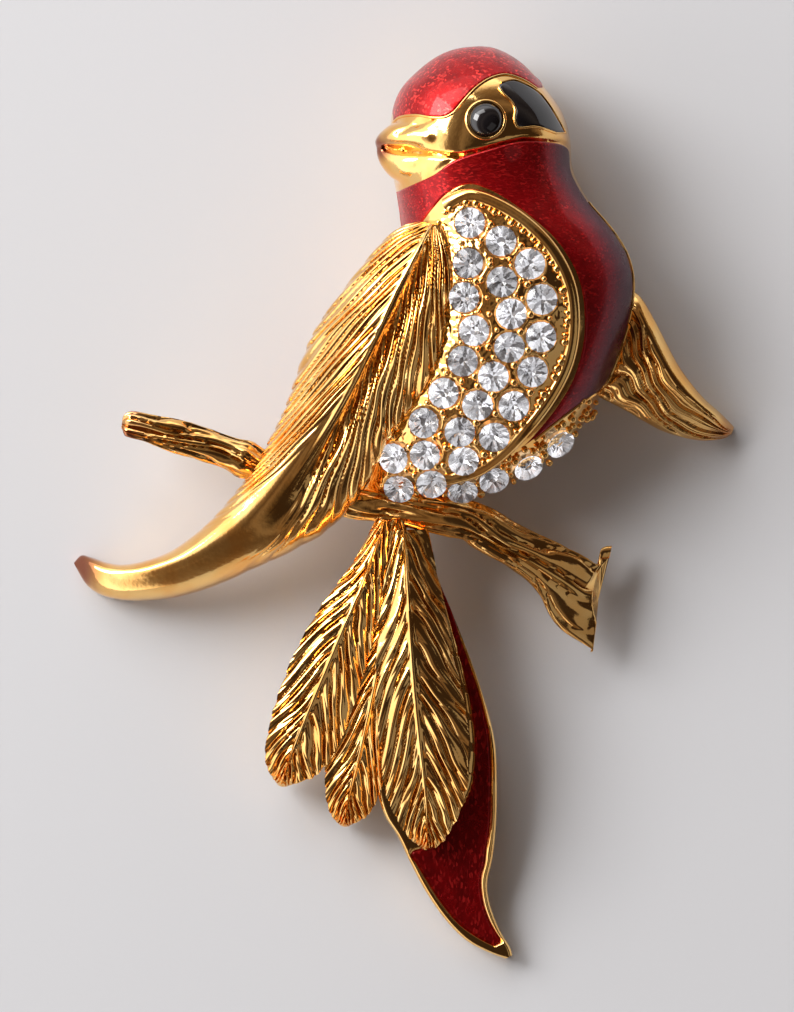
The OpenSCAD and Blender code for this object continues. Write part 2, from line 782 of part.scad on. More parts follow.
// A grain stands wherever three neighbouring stones leave room for it
module grains() {
    count = len(stones);
    for (a = [0:count - 3], b = [a + 1:count - 2], c = [b + 1:count - 1]) {
        apart = max(norm(stones[a] - stones[b]), norm(stones[a] - stones[c]), norm(stones[b] - stones[c]));
        p = (stone_place(a) + stone_place(b) + stone_place(c)) / 3;
        nearest = min([for (k = [a, b, c]) norm(p - stone_place(k))]);
        r = min(grain_d / 2, nearest - stone_d / 2 - 2 * seat_gap);
        if (apart < grain_reach && r > grain_d / 6)
            stand_on_body(p, ground_rise, stone_lean)
                skin(turned([
                    [r * grain_top, grain_d * grain_height],
                    [r, 0],
                    [r, -ground_rise - grain_d * grain_root]
                ], 6));
    }
}

// Rings of a turned shape with flats. Columns: radius, height
function turned(profile, sides) = [
    for (row = profile)
        [for (j = [0:sides - 1]) [row[0] * cos(360 * j / sides), row[0] * sin(360 * j / sides), row[1]]]
];

module stone(k) {
    r = stone_d / 2;
    color("white")
        stand_on_body(stone_place(k), stone_lift(k), stone_lean)
            skin(turned([
                [r * stone_table, stone_crown],
                [r, 0],
                [r * stone_point, -stone_depth]
            ], stone_sides));
}

module stone_seat(k) {
    r = stone_d / 2 + seat_gap;
    stand_on_body(stone_place(k), stone_lift(k), stone_lean)
        skin(turned([
            [r, stone_depth],
            [r, -seat_gap],
            [r * 2 * stone_point, -stone_depth - 2 * seat_gap]
        ], stone_sides));
}

module eye() {
    r = eye_d / 2;
    color("black")
        stand_on_body(at(eye_place[0], eye_place[1]), 0)
            rotate_extrude($fn = 32)
                intersection() {
                    translate([0, eye_dome / 2])
                        scale([1, (eye_dome / 2 + enamel_t) / r])
                            circle(r = r, $fn = 48);
                    translate([0, -enamel_t])
                        square([r, eye_dome + 2 * enamel_t]);
                }
}

module eye_bezel() {
    stand_on_body(at(eye_place[0], eye_place[1]), 0)
        cylinder(h = enamel_t, d = eye_d + 2 * bezel_w, center = true, $fn = 24);
}

module eye_seat() {
    stand_on_body(at(eye_place[0], eye_place[1]), -enamel_t - seat_gap)
        cylinder(h = 3 * enamel_t, d = eye_d + 2 * seat_gap, $fn = 24);
}

module casting() {
    color("gold")
        difference() {
            union() {
                torso();
                beak(upper_beak);
                beak(lower_beak);
                eye_bezel();
                stone_ground();
                front_wing();
                far_wing();
                branch();
                long_feather_plate();
                feather(left_feather);
                feather(middle_feather);
                feather(top_feather);
            }
            hollow();
            enamel_seat(crown_field, body_face, crown_grid);
            enamel_seat(breast_field, body_face, breast_grid);
            enamel_seat(mask_field, body_face, mask_grid);
            enamel_seat(tail_field, long_feather_face, tail_grid);
            eye_seat();
            for (k = [0:len(stones) - 1])
                stone_seat(k);
        }
}

module crown_enamel() {
    color("crimson") enamel(crown_field, body_face, crown_grid);
}

module breast_enamel() {
    color("firebrick") enamel(breast_field, body_face, breast_grid);
}

module tail_enamel() {
    color("darkred") enamel(tail_field, long_feather_face, tail_grid);
}

module mask_enamel() {
    color("black") enamel(mask_field, body_face, mask_grid);
}

// Pin: hinge barrel, stem and catch on two small plates
module pin_clasp() {
    hinge = at(hinge_place[0], hinge_place[1]);
    catch_end = at(catch_place[0], catch_place[1]);
    way = hinge - catch_end;
    length = norm(way);
    top = back_z - seat_gap;
    stem_z = barrel_d / 2;
    color("goldenrod")
        translate([catch_end[0], catch_end[1], 0])
            rotate([0, 0, atan2(way[1], way[0])]) {
                for (x = [0, length])
                    translate([x - plate_l / 2, -barrel_d * plate_share / 2, top - plate_t])
                        cube([plate_l, barrel_d * plate_share, plate_t]);
                for (x = [0, length])
                    translate([x - plate_t, -barrel_d * post_share / 2, stem_z])
                        cube([2 * plate_t, barrel_d * post_share, top - stem_z]);
                for (x = [0, length])
                    translate([x, 0, stem_z])
                        rotate([90, 0, 0])
                            cylinder(h = barrel_d * barrel_share, d = barrel_d, center = true);
                translate([-plate_l / 2, 0, stem_z])
                    rotate([0, 90, 0])
                        cylinder(h = length + plate_l / 2, d = stem_d);
            }
}

casting();
crown_enamel();
breast_enamel();
tail_enamel();
mask_enamel();
eye();
pin_clasp();
for (k = [0:len(stones) - 1])
    stone(k);
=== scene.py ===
# Bird brooch lying on its back on pale paper. Shapes are worked out in millimetres and become metres
# when a mesh is made. The tables repeat those of the casting's source: their places are in hundredths
# of the brooch's width and length, and the rest are shares of the sizes named beside each piece.
import bpy
import math
import numpy as np
from mathutils import Matrix, Vector, noise


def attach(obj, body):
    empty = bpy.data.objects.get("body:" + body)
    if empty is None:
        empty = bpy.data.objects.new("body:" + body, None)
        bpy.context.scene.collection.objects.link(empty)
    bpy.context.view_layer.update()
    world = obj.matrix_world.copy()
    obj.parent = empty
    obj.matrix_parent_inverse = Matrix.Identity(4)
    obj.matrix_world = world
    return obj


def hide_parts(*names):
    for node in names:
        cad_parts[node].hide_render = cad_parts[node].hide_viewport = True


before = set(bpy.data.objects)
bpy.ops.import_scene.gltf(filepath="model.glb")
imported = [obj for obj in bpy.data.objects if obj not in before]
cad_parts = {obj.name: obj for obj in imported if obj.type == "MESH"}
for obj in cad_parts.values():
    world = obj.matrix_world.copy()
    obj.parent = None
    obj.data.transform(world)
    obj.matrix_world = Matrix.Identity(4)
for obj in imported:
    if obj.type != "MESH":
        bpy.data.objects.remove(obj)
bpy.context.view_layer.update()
print("frame loaded")

mm = 0.001
brooch = {"width": 54.4, "length": 75.0, "back": 3.6, "bodyEdge": 0.8, "bodyHeight": 9.0, "bodyTop": 50.0,
          "bodyBottom": 0.7, "squareness": 2.3, "endReach": 0.999, "sideReach": 0.985}
unitX, unitY = brooch["width"] / 100, brooch["length"] / 100

bodySections = [  # left edge, right edge and rise, from the crown to the belly
    [12.0, 12.0, 0.02], [7.8, 14.0, 0.30], [4.6, 16.6, 0.52], [2.1, 19.2, 0.72], [-0.5, 21.5, 0.88],
    [-1.8, 23.9, 0.97], [-2.1, 25.1, 1.00], [-1.8, 25.5, 0.97], [-0.9, 28.1, 0.98], [-0.3, 32.4, 1.04],
    [-0.6, 34.7, 1.08], [-0.9, 34.6, 1.08], [-1.8, 33.3, 1.06], [-3.0, 31.5, 1.02], [-4.2, 29.1, 0.96],
    [-5.1, 26.4, 0.87], [-5.4, 22.9, 0.74], [-5.8, 19.0, 0.61], [-5.8, 15.2, 0.49], [-4.0, 11.1, 0.34],
    [3.4, 3.4, 0.02]
]
upperBeak = [  # middle across and along, half width, height, half height
    [7.7, 39.9, 2.2, 0.60, 0.42], [3.9, 39.8, 2.1, 0.59, 0.40], [0.9, 40.0, 1.75, 0.57, 0.34],
    [-1.8, 40.0, 1.37, 0.55, 0.25], [-3.6, 39.6, 0.8, 0.53, 0.15], [-4.4, 39.3, 0.25, 0.52, 0.05]
]
lowerBeak = [
    [5.4, 37.4, 1.60, 0.55, 0.36], [2.4, 37.2, 1.90, 0.53, 0.33], [-0.3, 37.1, 2.10, 0.50, 0.27],
    [-2.1, 37.4, 1.75, 0.48, 0.19], [-3.5, 38.0, 1.10, 0.47, 0.11], [-4.1, 38.4, 0.40, 0.47, 0.04]
]
wingRows = [  # shaft, outer edge, inner edge, then the height of each
    [4.2, 30.3, 2.0, 30.7, 6.0, 30.1, 90, 81, 87], [3.3, 29.1, -1.5, 29.6, 7.2, 25.8, 95, 80, 91],
    [2.6, 28.0, -5.7, 26.4, 6.3, 20.3, 99, 72, 93], [1.1, 25.8, -12.3, 20.1, 5.4, 16.6, 100, 60, 91],
    [-0.6, 23.4, -14.8, 16.6, 3.6, 13.2, 100, 57, 87],
    [-2.7, 20.1, -16.6, 12.9, 1.2, 10.6, 98, 54, 81], [-5.0, 16.7, -18.2, 9.8, -1.1, 8.3, 95, 52, 76],
    [-7.5, 13.0, -20.2, 7.0, -2.9, 6.2, 90, 50, 71], [-10.2, 9.5, -22.1, 4.3, -5.0, 2.9, 84, 47, 64],
    [-13.4, 6.1, -24.7, 1.8, -7.8, -0.1, 77, 44, 55],
    [-17.0, 2.9, -27.6, -0.7, -11.9, -3.1, 69, 40, 46],
    [-21.4, 0.0, -30.9, -3.0, -17.2, -5.3, 60, 34, 38],
    [-25.9, -2.5, -35.2, -5.2, -22.9, -7.2, 51, 26, 29],
    [-31.3, -4.8, -39.3, -6.3, -28.5, -9.0, 43, 20, 22],
    [-36.7, -6.4, -42.5, -6.7, -34.5, -10.3, 36, 15, 16],
    [-42.0, -7.4, -44.9, -6.5, -40.8, -10.7, 29, 12, 12],
    [-46.1, -7.4, -47.4, -5.9, -45.3, -10.2, 23, 10, 10],
    [-48.6, -7.0, -48.9, -5.7, -48.0, -9.0, 15, 8, 8],
    [-49.9, -6.7, -50.0, -6.5, -49.8, -6.9, 9, 7, 7]
]
farWingRows = [  # inner edge, ridge, outer edge, then the heights of ridge, inner and outer edge
    [28.0, 13.0, 32.5, 22.3, 33.7, 23.6, 90, 62, 80],
    [29.5, 11.7, 35.2, 20.7, 35.7, 22.5, 100, 66, 86],
    [31.3, 11.0, 36.7, 18.2, 37.8, 20.0, 100, 66, 84],
    [33.7, 10.1, 38.1, 16.1, 39.6, 17.5, 98, 62, 80], [36.3, 9.0, 39.6, 14.2, 41.4, 15.1, 93, 56, 74],
    [38.9, 8.0, 41.4, 12.4, 43.4, 13.1, 84, 48, 65], [41.9, 7.3, 44.0, 10.9, 45.5, 11.4, 72, 38, 53],
    [45.2, 6.9, 46.7, 9.5, 47.6, 10.1, 56, 29, 40], [48.2, 7.1, 48.6, 8.4, 49.2, 9.0, 38, 21, 27],
    [49.6, 7.6, 49.8, 8.0, 50.0, 8.4, 22, 17, 18]
]
leftFeather = [  # shaft across and along, outer and inner half width, height
    [-2.9, -1.8, 0.09, 0.13, 0.88], [-5.3, -7.0, 0.18, 0.22, 0.90], [-8.6, -12.8, 0.32, 0.32, 0.87],
    [-11.9, -18.5, 0.38, 0.40, 0.78], [-15.1, -24.0, 0.35, 0.43, 0.66],
    [-17.6, -28.6, 0.25, 0.33, 0.55], [-18.5, -31.0, 0.04, 0.04, 0.48]
]
middleFeather = [
    [-1.1, -1.8, 0.10, 0.10, 0.87], [-1.9, -9.0, 0.18, 0.18, 0.83], [-3.4, -16.0, 0.27, 0.27, 0.77],
    [-5.3, -23.0, 0.33, 0.32, 0.68], [-7.4, -29.5, 0.32, 0.32, 0.58], [-8.7, -33.6, 0.20, 0.24, 0.50],
    [-9.0, -35.4, 0.04, 0.04, 0.46]
]
topFeather = [
    [0.0, -2.9, 0.15, 0.25, 0.92], [0.6, -10.0, 0.28, 0.36, 1.00], [1.3, -17.5, 0.39, 0.45, 0.99],
    [2.2, -24.5, 0.43, 0.52, 0.91], [3.2, -31.5, 0.41, 0.44, 0.79], [3.5, -36.2, 0.22, 0.22, 0.68],
    [3.3, -37.9, 0.04, 0.04, 0.62]
]
longFeather = [  # left edge, right edge
    [-2.4, -4.0, 3.0, -4.0], [-3.0, -9.4, 5.7, -9.2], [-3.6, -14.9, 8.9, -14.9],
    [-3.9, -20.3, 11.6, -20.3], [-4.1, -25.8, 13.6, -25.7], [-4.1, -30.7, 14.0, -30.7],
    [-3.0, -34.0, 13.9, -35.1], [-0.9, -36.5, 13.4, -38.7], [1.2, -39.7, 12.6, -41.5],
    [3.5, -42.8, 12.9, -43.7], [6.3, -45.7, 13.9, -45.9], [9.3, -47.9, 14.9, -47.4],
    [12.5, -49.2, 16.0, -48.7], [15.4, -50.0, 16.4, -49.6]
]
crownField = [  # left edge, right edge, as in all the fields
    [-0.9, 41.8, -0.9, 42.6], [-0.1, 42.2, -0.6, 44.0], [1.8, 42.2, 0.5, 45.6], [4.1, 41.9, 2.7, 47.1],
    [6.0, 41.9, 5.2, 48.4], [7.4, 42.4, 7.8, 49.2], [8.6, 43.4, 10.5, 49.5], [9.9, 44.5, 13.0, 49.4],
    [11.4, 45.5, 15.1, 48.8], [13.3, 46.3, 17.1, 47.9], [15.4, 46.6, 18.8, 46.8],
    [17.8, 46.1, 19.9, 46.2], [19.9, 45.2, 20.7, 45.3]
]
breastField = [
    [0.2, 30.8, -0.3, 33.7], [1.8, 31.1, 1.8, 34.6], [4.2, 31.9, 4.5, 35.6], [6.5, 33.6, 7.2, 37.0],
    [9.6, 34.6, 11.7, 38.1], [12.7, 34.0, 16.9, 39.1], [15.2, 33.0, 21.2, 39.2],
    [17.8, 31.7, 24.5, 38.6], [20.2, 30.3, 25.1, 35.9], [22.3, 28.9, 27.4, 32.9],
    [24.1, 27.2, 30.8, 30.0], [25.7, 25.1, 33.3, 27.1], [26.7, 22.5, 34.2, 23.9],
    [27.0, 19.5, 33.7, 20.3], [26.6, 16.6, 32.3, 16.8], [25.2, 13.3, 29.9, 12.9],
    [22.8, 10.4, 26.5, 11.0], [19.7, 7.6, 22.9, 9.0], [17.4, 5.9, 19.3, 6.9]
]
maskField = [
    [14.2, 45.2, 14.3, 45.6], [15.1, 44.4, 16.3, 46.0], [16.1, 43.7, 18.4, 45.5],
    [16.7, 42.8, 20.2, 44.7], [16.6, 41.7, 21.5, 43.6], [17.3, 40.8, 22.6, 42.4],
    [19.9, 40.9, 23.5, 41.3], [22.9, 40.3, 24.2, 40.4]
]
tailField = [
    [5.0, -8.3, 5.4, -8.8], [6.6, -11.8, 7.3, -12.0], [7.7, -14.9, 8.6, -14.9],
    [8.8, -17.9, 10.0, -17.7], [9.9, -21.4, 11.4, -21.1], [10.6, -25.3, 12.7, -24.9],
    [10.6, -28.5, 13.1, -28.5], [9.6, -32.1, 13.1, -31.8], [7.2, -36.4, 13.0, -35.2],
    [2.9, -38.9, 12.3, -38.7], [3.6, -41.1, 11.6, -41.3], [5.6, -43.6, 11.9, -43.7],
    [8.3, -46.0, 12.8, -45.7], [11.1, -47.5, 13.9, -47.2], [13.7, -48.5, 14.8, -48.1]
]
groundField = [
    [4.8, 30.3, 6.2, 32.4], [5.0, 28.8, 9.9, 33.5], [5.0, 27.2, 14.5, 32.4], [4.7, 25.0, 19.0, 30.2],
    [4.2, 22.6, 22.7, 27.3], [3.6, 20.1, 25.2, 23.6], [2.7, 17.6, 25.8, 19.5], [1.7, 15.2, 25.0, 15.6],
    [0.5, 12.8, 22.7, 12.0], [-0.8, 10.5, 19.4, 8.7], [-2.0, 8.1, 15.2, 5.5], [-3.0, 5.7, 11.4, 3.6],
    [-3.6, 3.7, 7.7, 2.8], [-3.3, 1.8, 5.4, 2.6]
]
stones = [  # place across and along, in pitches
    [-0.62, 3.70], [0.31, 3.13], [1.18, 2.43], [-0.67, 2.46], [0.34, 1.89], [1.54, 1.36],
    [-0.79, 1.42], [0.62, 0.92], [-0.50, 0.40], [1.51, 0.22], [0.56, -0.10], [-0.84, -0.53],
    [1.25, -0.84], [0.07, -0.99], [-1.42, -1.50], [-0.41, -1.86], [0.68, -1.87], [-2.02, -2.40],
    [-0.95, -2.66], [0.09, -2.80], [-2.00, -3.36], [-0.84, -3.53], [-2.93, -3.48], [-1.82, -4.22],
    [-2.80, -4.36], [-0.86, -4.52], [0.10, -4.17], [1.17, -3.78], [2.15, -3.06]
]
branchRows = [  # middle across and along, half width, half depth, height
    [-42.5, 8.8, 0.15, 0.15, 0.40], [-41.5, 8.7, 0.38, 0.36, 0.40], [-38.3, 8.2, 0.42, 0.42, 0.40],
    [-34.0, 7.3, 0.49, 0.45, 0.40], [-30.0, 6.4, 0.48, 0.46, 0.39], [-25.9, 5.4, 0.47, 0.47, 0.38],
    [-21.4, 4.1, 0.48, 0.47, 0.37], [-15.7, 2.4, 0.49, 0.48, 0.37], [-8.9, 0.4, 0.49, 0.50, 0.38],
    [-2.1, -0.3, 0.50, 0.52, 0.41], [3.9, -1.1, 0.54, 0.55, 0.43], [9.9, -2.0, 0.62, 0.56, 0.43],
    [15.2, -4.1, 0.62, 0.54, 0.41], [19.7, -5.9, 0.66, 0.50, 0.37], [23.5, -7.8, 0.84, 0.44, 0.32],
    [26.9, -10.0, 1.16, 0.38, 0.26], [29.8, -10.5, 1.56, 0.32, 0.20]
]


# numbers and curves

def place(points):
    return np.asarray(points, float) * [unitX, unitY]


def mix(a, b, share):
    return a + (b - a) * share


def step(low, high, value):
    t = np.clip((value - low) / (high - low), 0, 1)
    return t * t * (3 - 2 * t)


def bell(offset, width):
    return np.exp(-(offset / width)**2)


def length(vectors):
    return np.linalg.norm(vectors, axis=-1)


def unit(vectors):
    return vectors / np.linalg.norm(vectors, axis=-1, keepdims=True)


def along(table, share):
    # smooth curve through a table's rows, at a share of the way along it
    table = np.asarray(table, float)
    last = len(table) - 1
    spot = np.clip(np.atleast_1d(share), 0, 1) * last
    k = np.minimum(spot.astype(int), last - 1)
    t = (spot - k)[:, None]
    a, b, c, d = (table[np.clip(k + s, 0, last)] for s in (-1, 0, 1, 2))
    return (2 * b + (c - a) * t + (2 * a - 5 * b + 4 * c - d) * t**2
            + (3 * b - a - 3 * c + d) * t**3) / 2


def bodySection(y):
    # left edge, right edge and rise of the torso at a place along its length
    top, bottom = brooch["bodyTop"] * unitY, brooch["bodyBottom"] * unitY
    reach = brooch["endReach"]
    turn = np.arccos(np.clip(1 - 2 * (top - np.atleast_1d(y)) / (top - bottom), -reach, reach))
    row = along(bodySections, turn / math.pi)
    return row[:, 0] * unitX, row[:, 1] * unitX, row[:, 2] * brooch["bodyHeight"]


def bodyFace(x, y):
    left, right, rise = bodySection(y)
    u = np.minimum(np.abs(x - (left + right) / 2) / ((right - left) / 2), brooch["sideReach"])
    q = brooch["squareness"]
    return brooch["back"] + brooch["bodyEdge"] + rise * (1 - u**q)**(1 / q)


def faceNormal(face, x, y, reach=0.05):
    return unit(np.stack([face(x - reach, y) - face(x + reach, y), face(x, y - reach) - face(x, y + reach),
                          np.full(len(x), 2 * reach)], -1))


def fieldOutline(field, count, grow=0.0):
    rows = along(field, np.linspace(0, 1, count))
    a, b = place(rows[:, :2]), place(rows[:, 2:4])
    side = (b - a) / np.maximum(length(b - a), 1e-9)[:, None] * grow
    return np.concatenate([a - side, (b + side)[::-1]])


def segmentDistance(points, starts, ends):
    gap = np.full(len(points), np.inf)
    for p, e in zip(starts, ends - starts):
        t = np.clip(((points - p) @ e) / max(e @ e, 1e-12), 0, 1)
        gap = np.minimum(gap, length(points - p - t[:, None] * e))
    return gap


def lineDistance(points, line):
    line = place(line)
    return segmentDistance(points, line[:-1], line[1:])


def outlineDistance(points, outline):
    # distance to a closed outline, negative inside it
    after = np.roll(outline, -1, 0)
    inside = np.zeros(len(points), bool)
    x, y = points[:, 0], points[:, 1]
    for p, q in zip(outline, after):
        if p[1] != q[1]:
            level = (p[1] > y) != (q[1] > y)
            inside ^= level & (x < (q[0] - p[0]) * (y - p[1]) / (q[1] - p[1]) + p[0])
    gap = segmentDistance(points, outline, after)
    return np.where(inside, -gap, gap)


# making and finishing meshes

def activate(piece):
    bpy.ops.object.select_all(action="DESELECT")
    piece.select_set(True)
    bpy.context.view_layer.objects.active = piece


def turnOutward(piece):
    activate(piece)
    bpy.ops.object.mode_set(mode="EDIT")
    bpy.ops.mesh.select_all(action="SELECT")
    bpy.ops.mesh.remove_doubles(threshold=1e-7)
    bpy.ops.mesh.normals_make_consistent(inside=False)
    bpy.ops.object.mode_set(mode="OBJECT")


def loft(name, rings):
    # closed skin over rings of points, its two ends closed to their middles
    n, m = rings.shape[:2]
    points = np.concatenate([rings.reshape(-1, 3), rings[0].mean(0)[None], rings[-1].mean(0)[None]])
    faces = []
    for i in range(n - 1):
        for j in range(m):
            k = (j + 1) % m
            faces.append((i * m + j, i * m + k, (i + 1) * m + k, (i + 1) * m + j))
    for j in range(m):
        k = (j + 1) % m
        faces.append((n * m, k, j))
        faces.append((n * m + 1, (n - 1) * m + j, (n - 1) * m + k))
    mesh = bpy.data.meshes.new(name)
    mesh.from_pydata((points * mm).tolist(), [], faces)
    piece = bpy.data.objects.new(name, mesh)
    bpy.context.collection.objects.link(piece)
    turnOutward(piece)
    return piece


def modify(piece, kind, **settings):
    activate(piece)
    modifier = piece.modifiers.new(kind.title(), kind)
    for key, value in settings.items():
        setattr(modifier, key, value)
    bpy.ops.object.modifier_apply(modifier=modifier.name)


def shadeSmooth(piece, degrees):
    activate(piece)
    bpy.ops.object.shade_smooth_by_angle(angle=math.radians(degrees))


def bakePlace(piece):
    activate(piece)
    bpy.ops.object.transform_apply(location=True, rotation=True, scale=True)


def join(pieces, name):
    bpy.ops.object.select_all(action="DESELECT")
    for piece in pieces:
        piece.select_set(True)
    bpy.context.view_layer.objects.active = pieces[0]
    bpy.ops.object.join()
    pieces[0].name = name
    return pieces[0]


def corners(piece):
    co = np.zeros(len(piece.data.vertices) * 3)
    piece.data.vertices.foreach_get("co", co)
    return co.reshape(-1, 3) / mm


def moveCorners(piece, points):
    piece.data.vertices.foreach_set("co", (points * mm).ravel())
    piece.data.update()


def cornerNormals(piece):
    n = np.zeros(len(piece.data.vertices) * 3)
    piece.data.vertex_normals.foreach_get("vector", n)
    return n.reshape(-1, 3)


def paint(piece, name, values):
    layer = piece.data.attributes.new(name, "FLOAT", "POINT")
    layer.data.foreach_set("value", np.asarray(values, np.float32))


def colour(piece, rings, groove, wear):
    # merging changes the corners' order, so each finds its painted groove shade by its place in the rings
    full = np.zeros(rings.shape[:2])
    full[:, :groove.shape[1]] = groove
    keys = np.round(rings.reshape(-1, 3), 3)
    table = dict(zip(map(tuple, keys), full.ravel()))
    points = corners(piece)
    paint(piece, "groove", [table.get(tuple(p), 0.0) for p in np.round(points, 3)])
    paint(piece, "wear", wear(points))


def settle(piece, nodes, finish):
    piece.data.materials.clear()
    piece.data.materials.append(finish)
    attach(piece, "root")
    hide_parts(*nodes)


# finishes

class Wire:
    # a value on its way through a finish, with ordinary arithmetic
    def __init__(self, finish, socket):
        self.finish, self.socket = finish, socket

    def maths(self, operation, *others):
        values = dict(enumerate((self,) + others))
        return self.finish.node("ShaderNodeMath", {"operation": operation}, values)

    def __add__(self, other):
        return self.maths("ADD", other)

    def __sub__(self, other):
        return self.maths("SUBTRACT", other)

    def __mul__(self, other):
        return self.maths("MULTIPLY", other)

    def __pow__(self, other):
        return self.maths("POWER", other)

    def __rsub__(self, other):
        return self.finish.node("ShaderNodeMath", {"operation": "SUBTRACT"}, {0: other, 1: self})

    __radd__ = __add__
    __rmul__ = __mul__

    def above(self, low, high):
        return self.finish.node("ShaderNodeMapRange", {"interpolation_type": "SMOOTHSTEP"},
                                {"Value": self, "From Min": low, "From Max": high})


class Finish:
    def __init__(self, holder):
        self.holder = holder
        self.holder.use_nodes = True
        self.tree = self.holder.node_tree
        self.tree.nodes.clear()

    def node(self, kind, settings=None, sockets=None, out=0):
        made = self.tree.nodes.new(kind)
        for key, value in (settings or {}).items():
            if key == "stops":
                ramp = made.color_ramp
                while len(ramp.elements) < len(value):
                    ramp.elements.new(0.5)
                for element, (spot, tint) in zip(ramp.elements, value):
                    element.position = spot
                    element.color = tint
            else:
                setattr(made, key, value)
        for key, value in (sockets or {}).items():
            if isinstance(value, Wire):
                self.tree.links.new(value.socket, made.inputs[key])
            else:
                made.inputs[key].default_value = value
        return Wire(self, made.outputs[out]) if made.outputs else None

    def attribute(self, name):
        return self.node("ShaderNodeAttribute", {"attribute_name": name}, out="Fac")

    def stretched(self, stretch):
        spot = self.node("ShaderNodeTexCoord", out="Object")
        return self.node("ShaderNodeMapping", {}, {"Vector": spot, "Scale": stretch})

    def noise(self, size, detail, stretch=(1, 1, 1)):
        return self.node("ShaderNodeTexNoise", {}, {"Vector": self.stretched(stretch),
                                                    "Scale": 1 / (size * mm), "Detail": detail})

    def cells(self, size, stretch):
        tints = self.node("ShaderNodeTexVoronoi", {}, {"Vector": self.stretched(stretch),
                                                       "Scale": 1 / (size * mm)}, out="Color")
        return self.node("ShaderNodeSeparateColor", {}, {"Color": tints})

    def blend(self, share, one, other):
        return self.node("ShaderNodeMix", {"data_type": "RGBA"}, {0: share, 6: one, 7: other}, out=2)

    def bump(self, height, size):
        return self.node("ShaderNodeBump", {}, {"Height": height, "Distance": size * mm, "Strength": 1.0})

    def done(self, sockets):
        shader = self.node("ShaderNodeBsdfPrincipled", {}, sockets)
        self.node("ShaderNodeOutputMaterial", {}, {"Surface": shader})
        return self.holder


def newFinish(name):
    return Finish(bpy.data.materials.new(name))


def deeper(tint, share):
    return tuple(c * share for c in tint[:3]) + (1,)


# the groove colour is painted shade for grooves, creases and hollows; worn is real wear
castLook = {"tone": (1.0, 0.63, 0.23, 1), "blush": (0.96, 0.5, 0.14, 1), "worn": (0.34, 0.12, 0.07, 1),
            "groove": (0.6, 0.24, 0.05, 1), "grooveShadeShare": 0.5, "polish": 0.04, "haze": 0.06,
            "scratch": 0.008}


def gold(name, look):
    finish = newFinish(name)
    cloud = finish.noise(3.0, 4.0)
    fine = finish.noise(0.35, 3.0)
    warm = finish.blend(cloud.above(0.35, 0.7), look["tone"], look["blush"])
    worn = finish.blend(finish.attribute("wear") * cloud.above(0.2, 0.6), warm, look["worn"])
    # painted shade: the base colour darkens towards the groove colour where the groove mask is set
    deep = finish.blend(finish.attribute("groove") * look["grooveShadeShare"], worn, look["groove"])
    dents = fine + finish.noise(1.1, 2.0) * 1.6
    return finish.done({"Base Color": deep, "Metallic": 1.0,
                        "Roughness": fine * look["haze"] + look["polish"] + cloud * look["haze"],
                        "Normal": finish.bump(dents, look["scratch"])})


def lacquer(name, near, far, flake, fleck, sparkle, stretch=(1, 1, 1)):
    # clear gloss over coloured glitter: flecks catch the light, and painted shade turns the far edge dark and
    # plain
    finish = newFinish(name)
    grey = finish.cells(fleck, stretch)
    cloud = finish.noise(1.4, 3.0)
    edge = finish.attribute("shade")
    ground = finish.blend(cloud.above(0.3, 0.75), near, deeper(near, 0.55))
    bright = finish.blend(grey.above(0.7, 0.97) * cloud.above(0.25, 0.6), ground, flake)
    # painted shade: along the shade mask the base colour goes to the far tint, and the metal and coat fade out
    return finish.done({"Base Color": finish.blend(edge, bright, far), "Metallic": 0.7 - edge * 0.7,
                        "Roughness": cloud * 0.2 + 0.2, "Normal": finish.bump(grey, sparkle),
                        "Coat Weight": 0.35 - edge * 0.3, "Coat Roughness": 0.05, "Coat IOR": 1.5,
                        "Specular IOR Level": 0.25})


def gloss(name, base):
    finish = newFinish(name)
    cloud = finish.noise(1.5, 3.0)
    return finish.done({"Base Color": finish.blend(cloud, base, deeper(base, 1.7)),
                        "Roughness": cloud * 0.05 + 0.05, "Normal": finish.bump(cloud, 0.01),
                        "Coat Weight": 0.6, "Coat Roughness": 0.02})


castGold = gold("castGold", castLook)
redCrown = lacquer("crownRed", near=(0.46, 0.003, 0.004, 1), far=(0.14, 0.0, 0.01, 1),
                   flake=(1.0, 0.05, 0.04, 1), fleck=0.2, sparkle=0.05)
redBreast = lacquer("breastRed", near=(0.42, 0.004, 0.007, 1), far=(0.075, 0.0, 0.022, 1),
                    flake=(0.75, 0.02, 0.02, 1), fleck=0.13, sparkle=0.03, stretch=(0.4, 1, 1))
redTail = lacquer("tailRed", near=(0.3, 0.002, 0.004, 1), far=(0.16, 0.0, 0.004, 1),
                  flake=(0.6, 0.02, 0.02, 1), fleck=0.16, sparkle=0.03, stretch=(1, 0.4, 1))
blackGloss = gloss("blackGloss", (0.006, 0.005, 0.006, 1))


def settleGold(piece, degrees):
    shadeSmooth(piece, degrees)
    settle(piece, ["casting"], castGold)


# where the stones stand, and how their ground is laid

pave = {"pitch": 2.65, "middle": (13.0, 17.3), "rise": 0.5, "rim": 0.56, "rimIn": 0.022, "bead": 0.29,
        "lean": 0.6, "stone": 1.25, "steps": (230, 150), "well": 1.35, "wellReach": 1.36, "grain": 0.35,
        "beadGap": 0.42, "belly": 4, "bellyRise": 0.12,
        "bellyLine": [[11.1, 1.9], [15.2, 2.9], [19.0, 4.1], [22.9, 6.0], [26.2, 8.1], [29.2, 10.5]]}
stonePlaces = place([pave["middle"]])[0] + np.array(stones) * pave["pitch"]


def toStone(points):
    return np.min(length(points[:, None] - stonePlaces[None]), axis=1)


# body with head and beak

